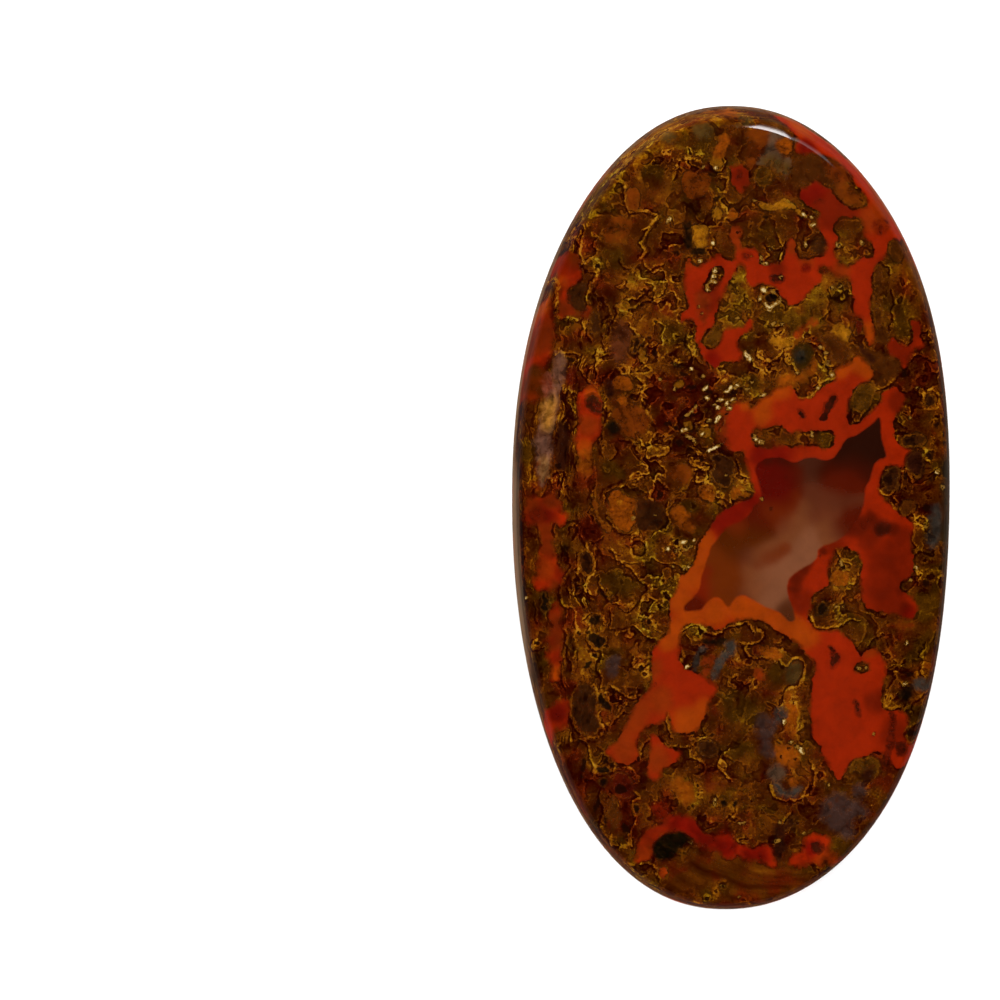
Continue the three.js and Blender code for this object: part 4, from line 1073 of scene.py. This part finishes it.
class Graph:
    # The nodes of one material
    def __init__(self, material):
        material.use_nodes = True
        self.tree = material.node_tree
        self.tree.nodes.clear()

    def node(self, kind, settings=None, inputs=None):
        # Any node: its settings first, then the values or links of its sockets
        node = self.tree.nodes.new(kind)
        for name, value in (settings or {}).items():
            setattr(node, name, value)
        for name, value in (inputs or {}).items():
            if isinstance(value, Wire):
                self.tree.links.new(value.socket, node.inputs[name])
            else:
                node.inputs[name].default_value = value
        return [Wire(self, socket) for socket in node.outputs]

    def traced(self, name):
        return self.node("ShaderNodeAttribute", {"attribute_name": name})

    def parts(self, tone):
        return self.node("ShaderNodeSeparateColor", {}, {0: tone})

    def clouds(self, place, size, detail=2, roughness=0.55):
        return self.node("ShaderNodeTexNoise", {}, {
            "Vector": place, "Scale": size, "Detail": detail, "Roughness": roughness})

    def cloud(self, *pattern):
        # Grey clouds, about 0.5 in the middle
        return self.clouds(*pattern)[0]

    def swing(self, *pattern):
        # The same, to both sides of 0
        return self.cloud(*pattern) - 0.5

    def cellular(self, place, size, feature="F1"):
        return self.node("ShaderNodeTexVoronoi", {"feature": feature}, {
            "Vector": place, "Scale": size})

    def step(self, value, start, end, low=0.0, high=1.0):
        return self.node("ShaderNodeMapRange", {"interpolation_type": "SMOOTHSTEP"}, {
            0: value, 1: start, 2: end, 3: low, 4: high})[0]

    def line(self, distance, middle, reach):
        # 1 on a line at this distance, falling to 0 at reach to either side
        return self.step(abs(distance - middle), reach, reach * 0.35)

    def mix(self, share, a, b):
        return self.node("ShaderNodeMix", {"data_type": "RGBA"}, {0: share, 6: a, 7: b})[2]

    def vector(self, operation, a, b):
        return self.node("ShaderNodeVectorMath", {"operation": operation}, {0: a, 1: b})

    def moved(self, place, way):
        return self.vector("ADD", place, way)[0]

    def stretched(self, place, shares):
        return self.vector("MULTIPLY", place, shares)[0]

    def scaled(self, a, factor):
        return self.node("ShaderNodeVectorMath", {"operation": "SCALE"}, {0: a, 3: factor})[0]

    def drift(self, place, size, amount):
        push = self.clouds(place, size)[1]
        return self.scaled(self.vector("SUBTRACT", push, (0.5, 0.5, 0.5))[0], amount)

    def ramp(self, value, stops):
        made = self.node("ShaderNodeValToRGB", {}, {0: value})[0]
        ramp = made.socket.node.color_ramp
        while len(ramp.elements) < len(stops):
            ramp.elements.new(0.5)
        for element, at, tone in zip(ramp.elements, rampPlaces, stops):
            element.position = at
            element.color = (*linear(tone), 1)
        return made


# Sizes of patterns are per millimetre, widths of lines in the picture's pixels,
# and heights and places in millimetres.
agateLook = {
    "ior": 1.54,
    "polish": 0.07,  # roughness of the polished surface
    "body": 0.45,  # roughness underneath
    "sidePolish": 0.02,  # how much of the polish the ground side keeps
    "polishHeights": (3.86, 3.95),  # between these the polish sets in
    "ripple": 0.02,
    "shade": 0.51,  # darkens every tone, so that the stone reads as traced beside a white floor
    "paintedSideLight": 1.3,  # painted light: the side's tone is lifted, as the lamps light it less
    "paintedSideLightHeights": (3.93, 3.70),
    "fadeHeights": (0.7, 1.9),  # between these the traced marks give way
    "drift": (0.55, 1.1),  # size of the eddies and how far they push
    "curl": (2.3, 0.30),
    "fray": (4.4, 0.30),
    "broad": 0.16,
    "hueBroad": 0.21,
    "soft": 0.95,
    "blot": 1.9,
    "vein": 0.82,
    "veinLevels": 3.4,
    "wiggle": 0.64,
    "fineVein": 1.35,
    "fineLevels": 3.6,
    "veinNudge": 0.6,  # how far apart the slope of a cloud is felt
    "crumb": 2.9,
    "pit": 1.9,
    "speck": 2.7,
    "grain": 8.5,
    "streakSides": (-6.0, -8.0),  # between these the upright streaks set in
    "streakStretch": (1.9, 0.42, 1.0),
    "footEnds": (-14.2, -15.6),  # the near end, whose jasper is ragged
    "faintEnds": (-4.0, -9.0, 1.0, 0.72),  # the veins pale towards the near end
    "arcCentre": (3.4, -7.4, 4.5),  # the smooth bands at the near end sweep round this point
    "edge": ((1.9, 5.5), (5.0, 4.4)),  # size and depth of the wobble of traced edges
    "threadEdge": ((2.6, 7.0), (7.0, 3.4)),
    "pitEdge": ((3.4, 9.0), (8.0, 4.0)),
}
rampPlaces = (0.0, 0.12, 0.26, 0.40, 0.54, 0.68, 0.80, 0.90, 1.0)
mossRamps = {
    "golden": [(30, 2, 0), (40, 3, 0), (51, 14, 0), (66, 26, 1), (84, 38, 2), (109, 54, 3),
               (134, 76, 6), (150, 92, 9), (174, 116, 22)],
    "rusty": [(32, 1, 0), (43, 2, 0), (56, 9, 0), (72, 17, 1), (91, 26, 2), (114, 38, 3),
              (136, 62, 6), (150, 84, 9), (172, 104, 20)],
    "green": [(24, 4, 0), (34, 9, 0), (44, 19, 0), (58, 30, 1), (76, 42, 2), (99, 60, 3),
              (126, 86, 6), (140, 98, 9), (164, 128, 26)],
}


def finishAgate(material, k):
    g = Graph(material)
    pixel = picture["mmPerPixel"]
    mm = g.scaled(g.node("ShaderNodeTexCoord")[3], 1 / metre)
    across, along, height = g.node("ShaderNodeSeparateXYZ", {}, {0: mm})
    marked = g.step(height, *k["fadeHeights"])

    def number(name):
        return g.traced(name)[2]

    def inset(name):
        # A traced distance, which falls away below the marks
        return number(name) * marked - reach * (1 - marked)

    def colour(name):
        return (*linear(tones[name]), 1)

    def unsteady(waves):
        (coarse, coarseDepth), (fine, fineDepth) = waves
        return g.swing(mm, coarse) * coarseDepth + g.swing(mm, fine) * fineDepth

    def spread(marks, cloud, low, high):
        # The traced marks, and below them a broad cloud
        return marks * marked + g.step(cloud, 0.3, 0.7, low, high) * (1 - marked)

    broad = g.cloud(mm, k["broad"])
    drifted = g.moved(mm, g.drift(mm, *k["drift"]))
    curled = g.moved(drifted, g.drift(mm, *k["curl"]))
    frayed = g.moved(curled, g.drift(mm, *k["fray"]))
    beads = g.step(g.cloud(mm, 6.0, 1), 0.40, 0.56)

    # Kind of moss at each place
    kind = g.parts(g.traced("moss")[0])
    light = spread(kind[0], broad, 0.28, 0.52)
    hue = spread(kind[1], g.cloud(mm, k["hueBroad"]), -0.7, 0.7)
    crumb = kind[2] * marked + 0.5 * (1 - marked)
    calm = g.step(crumb, 0.18, 0.04)
    streaky = g.step(across, *k["streakSides"])
    foot = g.step(along, *k["footEnds"])

    # Veins run where a cloud crosses a level: gold on the upper side, dark on the lower.
    # In the upright streaks the cloud is drawn out.
    def veinCloud(place):
        even = g.cloud(place, k["vein"], 2, k["wiggle"])
        drawn = g.cloud(g.stretched(place, k["streakStretch"]), k["vein"], 2, k["wiggle"])
        return even * (1 - streaky) + drawn * streaky

    def fineCloud(place):
        return g.cloud(place, k["fineVein"], 2, 0.6)

    # How far, in pixels, each place is from where a cloud crosses a level, and which level
    def crossings(cloud, place, levels):
        level = cloud(place)
        nudge = k["veinNudge"]
        slopes = [cloud(g.moved(place, way)) - level
                  for way in ((nudge * pixel, 0, 0), (0, nudge * pixel, 0))]
        slope = (slopes[0] * slopes[0] + slopes[1] * slopes[1]).math("SQRT") / nudge
        phase = level * levels
        gap = (phase.math("FRACT") - 0.5) / (slope * levels).math("MAXIMUM", 0.02)
        return gap, (phase + 0.5).math("FLOOR")

    veinGap, band = crossings(veinCloud, curled, k["veinLevels"])
    fineGap = crossings(fineCloud, frayed, k["fineLevels"])[0]
    bandTone = g.node("ShaderNodeTexWhiteNoise", {"noise_dimensions": "1D"}, {"W": band})[0] - 0.5
    fickle = g.cloud(mm, 1.1)
    faint = g.step(along, *k["faintEnds"])
    strength = g.step(fickle, 0.38, 0.54, 0.12, 1.0) * (0.55 + 0.45 * beads) * faint
    veinGold = g.line(veinGap, 0.9, 1.1 + 1.0 * beads) * strength
    veinShade = g.line(veinGap, -1.4, 2.0) * (0.35 + 0.65 * strength)
    fineShown = g.step(g.cloud(mm, 0.9), 0.46, 0.58)
    fineGold = g.line(fineGap, 0.7, 1.4) * fineShown * beads
    fineShade = g.line(fineGap, -1.3, 1.6) * fineShown

    # Crumbs: little cells with dark gaps, each of its own tone
    cracked = g.cellular(frayed, k["crumb"], "DISTANCE_TO_EDGE")[0] / (k["crumb"] * pixel)
    crumbParts = g.parts(g.cellular(frayed, k["crumb"])[1])
    gaps = g.step(cracked, 1.1, 0.2) * g.step(g.cloud(mm, 1.7), 0.40, 0.55)

    # Small dark pits, some with a gold rim, and bright specks
    def dots(place, size):
        cell = g.cellular(place, size)
        return cell[0] / (size * pixel), g.parts(cell[1])

    pitFar, pitChance = dots(frayed, k["pit"])
    pitGap = pitFar + fickle * 3.0 - 1.6 - pitChance[0] * 2.2
    pitShown = g.step(pitChance[1], 0.50, 0.62)
    pit = g.step(pitGap, 0.7, -0.5) * pitShown
    pitRim = g.line(pitGap, 1.2, 1.1) * pitShown * g.step(pitChance[2], 0.3, 0.8)
    speckFar, speckChance = dots(mm, k["speck"])
    speck = g.step(speckFar, 1.2, 0.4) * g.step(speckChance[0], 0.62, 0.9)

    # Clouds, grain, upright streaks and the bands at the near end
    softSet = g.clouds(curled, k["soft"], 2, 0.5)
    soft = softSet[0] - 0.5
    hueDrift = g.parts(softSet[1])[1] - 0.5
    blot = g.swing(curled, k["blot"])
    grain = g.swing(mm, k["grain"], 2, 0.6)
    grit = g.step(grain, 0.09, 0.19) * 0.17 - g.step(grain, -0.08, -0.20) * 0.20
    streaks = g.swing(g.stretched(curled, (1.0, 0.28, 1.0)), 2.3, 3, 0.6)
    away = g.vector("DISTANCE", g.moved(mm, g.drift(mm, 0.4, 0.6)), k["arcCentre"])[1]
    swept = g.node("ShaderNodeCombineXYZ", {}, {0: across * 0.16, 1: away})[0]
    arcs = g.swing(swept, 2.1, 3, 0.5)

    # Traced threads, with a dark line along one side, and traced pits
    threadSide = number("threadSide") + unsteady(k["threadEdge"])
    nearThread = g.step(number("threadNear"), 5.5, 3.5) * marked
    threadLight = number("threadLight")
    thread = g.line(threadSide, 0.0, 1.3 + 0.7 * beads) * nearThread * (0.60 + 0.40 * beads)
    thread = thread * (0.5 + 0.5 * faint)
    threadShade = g.line(threadSide, 2.1, 1.6) * nearThread * g.step(threadLight, -0.5, 0.1)
    holeGap = inset("pit") + unsteady(k["pitEdge"]) - 0.3
    hole = g.step(holeGap, -0.9, 0.9) * 0.9
    holeRim = g.line(holeGap, -1.4, 1.3) * number("pitRing")

    # Edges of the traced areas, roughened
    wobble = unsteady(k["edge"])
    farRed = (g.cloud(drifted, 0.22, 3) - 0.53) * 140 + across * 0.5
    farRed = farRed.math("MINIMUM", reach).math("MAXIMUM", -reach)
    torn = g.swing(curled, 2.4) * (4.5 * streaky + 6 * foot)
    redGap = number("jasper") * marked + farRed * (1 - marked) + wobble + torn
    windowGap = inset("window") + wobble * 0.3
    cellSoft = number("cellSoft")
    cellGap = inset("cell") + wobble * (0.9 + 0.15 * cellSoft)
    cellTone = g.traced("cellTone")
    rim = cellTone[3] * 2 - 1
    islandShare = g.step(g.parts(cellTone[0])[0], 0.004, 0.05, 0.05, 0.4)
    islands = g.step(g.cloud(curled, 2.6, 2, 0.6), 0.52, 0.60) * islandShare
    cellEdge = g.step(cellGap, cellSoft * -1, cellSoft) * (0.86 + 0.10 * beads - islands)
    rimInside = g.line(cellGap, 1.3, 1.5) * rim.math("MAXIMUM", 0)
    rimOutside = g.line(cellGap, -1.3, 1.5) * (rim * -1).math("MAXIMUM", 0)
    goldRim = (rimInside + rimOutside) * (0.10 + 0.80 * strength)
    darkRim = g.line(cellGap, -0.8, 1.5) * g.step(fickle, 0.62, 0.42) * g.step(cellSoft, 2.5, 1.3)
    redSoft = g.step(fickle, 0.40, 0.60, 3.4, 0.6) + streaky * 1.8 + foot * 2.0
    redShade = g.line(redGap, -1.2, 1.9) * g.step(fickle, 0.44, 0.62)
    redGold = g.line(redGap, -3.4, 1.3) * strength

    # Lightness and hue of the moss
    lively = (0.10 + 0.90 * crumb) * (1 - calm)
    lace = fineGold * 0.25 - fineShade * 0.22
    value = (light + soft * (0.62 - 0.40 * calm) + blot * (0.12 + 0.22 * crumb) * (1 - calm)
             + (crumbParts[1] - 0.5) * 0.14 * crumb - gaps * 0.08 * crumb * crumb
             + lace * crumb * (1 - calm)
             + grain * (0.10 + 0.20 * crumb) + grit * (0.2 + 0.9 * crumb)
             + streaks * 0.6 * streaky + arcs * 1.0 * calm
             + (bandTone * 0.20 + veinGold * 0.52 - veinShade * 0.46) * lively
             + (pitRim * 0.30 - pit * 0.34 + redGold * 0.22) * lively - redShade * 0.20
             + thread * (0.08 + 0.38 * threadLight) - threadShade * 0.32 + holeRim * 0.4
             + speck * 0.40 * crumb).math("MINIMUM", 1.0)
    hueHere = hue + hueDrift * 3.2 + (crumbParts[2] - 0.5) * 0.5 * crumb + grain * 0.6
    golden, rusty, green = [g.ramp(value, mossRamps[name]) for name in ("golden", "rusty", "green")]
    leaning = g.mix(g.step(hueHere, 0.0, -0.9), golden, rusty)
    mossColour = g.mix(g.step(hueHere, 0.0, 0.9), leaning, green)

    # Jasper, window and cells, each from its traced tone
    farTone = g.mix(g.step(broad, 0.35, 0.65), colour("scarlet"), colour("russet"))
    redTone = g.mix(marked, farTone, g.traced("jasperTone")[0])
    redDepth = (1 + soft * (0.5 + 0.4 * streaky + 0.9 * foot)
                + blot * (0.4 + 0.3 * streaky + 0.8 * foot) + grain * 0.25
                - g.step(redGap, 2.6, 0.4) * 0.12)
    redColour = g.scaled(redTone, redDepth)
    windowDepth = 1 + soft * 0.25 + blot * 0.10 + grain * 0.12
    windowColour = g.scaled(g.traced("windowTone")[0], windowDepth)
    cellDepth = (1 + soft * 1.1 + blot * 1.8 + bandTone * 0.35 + streaks * 1.6 * streaky
                 + (grain * 1.0 + grit * 1.2) * g.step(cellSoft, 3.2, 2.0, 0.25, 1.0))
    cellColour = g.scaled(cellTone[0], cellDepth.math("MAXIMUM", 0.15))

    base = g.mix(g.step(redGap, redSoft * -1, redSoft), mossColour, redColour)
    base = g.mix(g.step(windowGap, -1.6, 1.6), base, windowColour)
    base = g.mix(cellEdge, base, cellColour)
    base = g.mix(darkRim * 0.5, base, colour("pitch"))
    base = g.mix(goldRim, base, g.ramp(0.72 + grain * 0.8, mossRamps["golden"]))
    base = g.mix(hole, base, colour("pitAndPaintedShade"))

    # Bright flecks, their sparkle a painted glint, broken up by ridges and set in a ring of painted
    # shade
    ridge = g.step(abs(g.swing(frayed, 3.4)), 0.10, 0.02)
    around = number("glintFleck") * marked
    glintFleck = around * (0.62 + 0.75 * ridge + grain * 1.6)
    base = g.mix(g.step(around, 0.02, 0.30) * 0.6, base, colour("pitAndPaintedShade"))
    base = g.mix(g.step(glintFleck, 0.22, 0.62), base, colour("brass"))
    base = g.mix(g.step(glintFleck, 0.74, 1.05), base, colour("glintCream"))

    # The leaning side, in painted light: paler than the face, greyer and paler with painted reflection
    # in the west and north-west, darker with painted shade in the east, and paler low down
    flank = g.step(height, 3.66, 3.42) * (0.72 + 1.4 * streaks + 0.2 * beads)
    west = g.step(across, -9.6, -10.3) * g.step(along, 3.0, 0.8) * g.step(along, -12.0, -9.5)
    eastLow = g.step(across, 9.85, 10.3) * g.step(along, 3.4, 1.6) * g.step(along, -4.6, -2.8)
    east = g.step(across, 9.4, 10.1) * flank + eastLow
    upper = g.step(across, -8.2, -8.8) * g.step(along, 1.5, 3.5) * g.step(along, 13.5, 11.0)
    groundShare = g.step(height, 1.9, 0.8) * (0.30 + 1.2 * streaks)
    # painted reflection: the west side below the shoulder is greyed as if it mirrored the pale floor
    base = g.mix(flank * west * 0.6, base, colour("paintedWestGlare"))
    # painted reflection: a pale tan sheen on the low west side and on the north-west side
    base = g.mix(g.step(height, 2.9, 1.9) * west * 0.45, base, colour("paintedRimSheen"))
    base = g.mix(flank * upper * g.step(height, 1.9, 1.3) * 0.5, base, colour("paintedRimSheen"))
    # painted shade: the east side is darkened
    base = g.mix(east.math("MINIMUM", 1.0) * 0.6, base, colour("paintedEastShade"))
    # painted shade: a thin dark line along the west shoulder
    base = g.mix(g.line(height, 3.76, 0.16) * west * 0.8 * beads, base, colour("pitAndPaintedShade"))
    base = g.mix(groundShare, base, colour("groundEdge"))
    # painted light: below the shoulder every tone is lifted, since the lamps light the side less
    base = g.scaled(base, k["shade"] * g.step(height, *k["paintedSideLightHeights"], 1.0, k["paintedSideLight"]))

    # The polish is smooth on jasper, window and cells, and ripples a little on the moss
    mossy = g.step(redGap, 0.5, -1.0) * g.step(windowGap, 0.5, -1.0) * (1 - cellEdge)
    bump = g.node("ShaderNodeBump", {}, {
        "Strength": k["ripple"], "Distance": 0.02 * metre, "Height": mossy * (grain + blot)})[0]
    polished = g.step(height, *k["polishHeights"], k["sidePolish"], 1.0)
    shader = g.node("ShaderNodeBsdfPrincipled", {}, {
        "Base Color": base, "Roughness": k["body"], "IOR": k["ior"], "Specular IOR Level": 0.0,
        "Coat Weight": polished, "Coat Roughness": k["polish"], "Coat IOR": k["ior"],
        "Normal": bump})[0]
    g.node("ShaderNodeOutputMaterial", {}, {0: shader})


agate = bpy.data.materials.new("polishedAgate")
finishAgate(agate, agateLook)
stone.data.materials.clear()
stone.data.materials.append(agate)
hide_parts("cabochon")
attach(stone, "root")
print("agate finished")


# Floor, light and camera, in millimetres

studio = {
    "floorSide": 4000.0,
    "floorTone": (0.90, 0.90, 0.90, 1),
    "floorRoughness": 0.9,
    "air": 0.03,  # brightness all round
    "aimHeight": 3.0,
    "lamps": [
        # name, turn from +X, height above the floor in degrees, distance, width, height, watts,
        # and whether it shows in the polish
        ("highStrip", 73, 36, 320, 52, 280, 0.85, True),
        ("eastStrip", 58, 37, 320, 50, 200, 0.06, True),
        ("overheadPanel", 90, 86, 600, 450, 450, 4.2, False),
        ("northPanel", 75, 30, 450, 300, 200, 1.9, False),
        ("southPanel", 250, 30, 450, 300, 200, 1.4, False),
        ("westPanel", 185, 33, 450, 260, 200, 0.8, False),
        ("eastPanel", 5, 33, 450, 260, 200, 0.4, False),
    ],
}


def placeFloor(s):
    bpy.ops.object.select_all(action="DESELECT")
    bpy.ops.mesh.primitive_plane_add(size=s["floorSide"] * metre)
    floor = bpy.context.object
    floor.name = "paleFloor"
    material = bpy.data.materials.new("paleFloor")
    material.use_nodes = True
    shader = material.node_tree.nodes["Principled BSDF"]
    shader.inputs["Base Color"].default_value = s["floorTone"]
    shader.inputs["Roughness"].default_value = s["floorRoughness"]
    shader.inputs["Specular IOR Level"].default_value = 0.0
    floor.data.materials.append(material)


def hangLamps(s):
    aim = Vector((0, 0, s["aimHeight"] * metre))
    for name, turn, rise, distance, wide, tall, watts, shows in s["lamps"]:
        turn, rise = math.radians(turn), math.radians(rise)
        direction = Vector((math.cos(turn) * math.cos(rise), math.sin(turn) * math.cos(rise),
                            math.sin(rise)))
        bpy.ops.object.light_add(type="AREA", location=aim + direction * distance * metre)
        lamp = bpy.context.object
        lamp.name = name
        lamp.rotation_euler = direction.to_track_quat("Z", "Y").to_euler()
        lamp.data.shape = "RECTANGLE"
        lamp.data.size = wide * metre
        lamp.data.size_y = tall * metre
        lamp.data.energy = watts
        lamp.visible_glossy = shows
        lamp.visible_diffuse = not shows


def setAir(s):
    world = bpy.data.worlds.new("air")
    world.use_nodes = True
    world.node_tree.nodes["Background"].inputs[1].default_value = s["air"]
    bpy.context.scene.world = world
    bpy.context.scene.view_settings.view_transform = "Standard"


def setCamera(p):
    bpy.ops.object.camera_add(location=Vector(cameraPlace) * metre, rotation=(0, 0, 0))
    camera = bpy.context.object
    camera.name = "lens"
    camera.data.sensor_width = p["sensor"]
    camera.data.lens = p["sensor"] * p["distance"] / (p["side"] * p["mmPerPixel"])
    camera.data.clip_start = 0.01
    camera.data.clip_end = 20
    bpy.context.scene.camera = camera


placeFloor(studio)
hangLamps(studio)
setAir(studio)
setCamera(picture)
print("studio set")
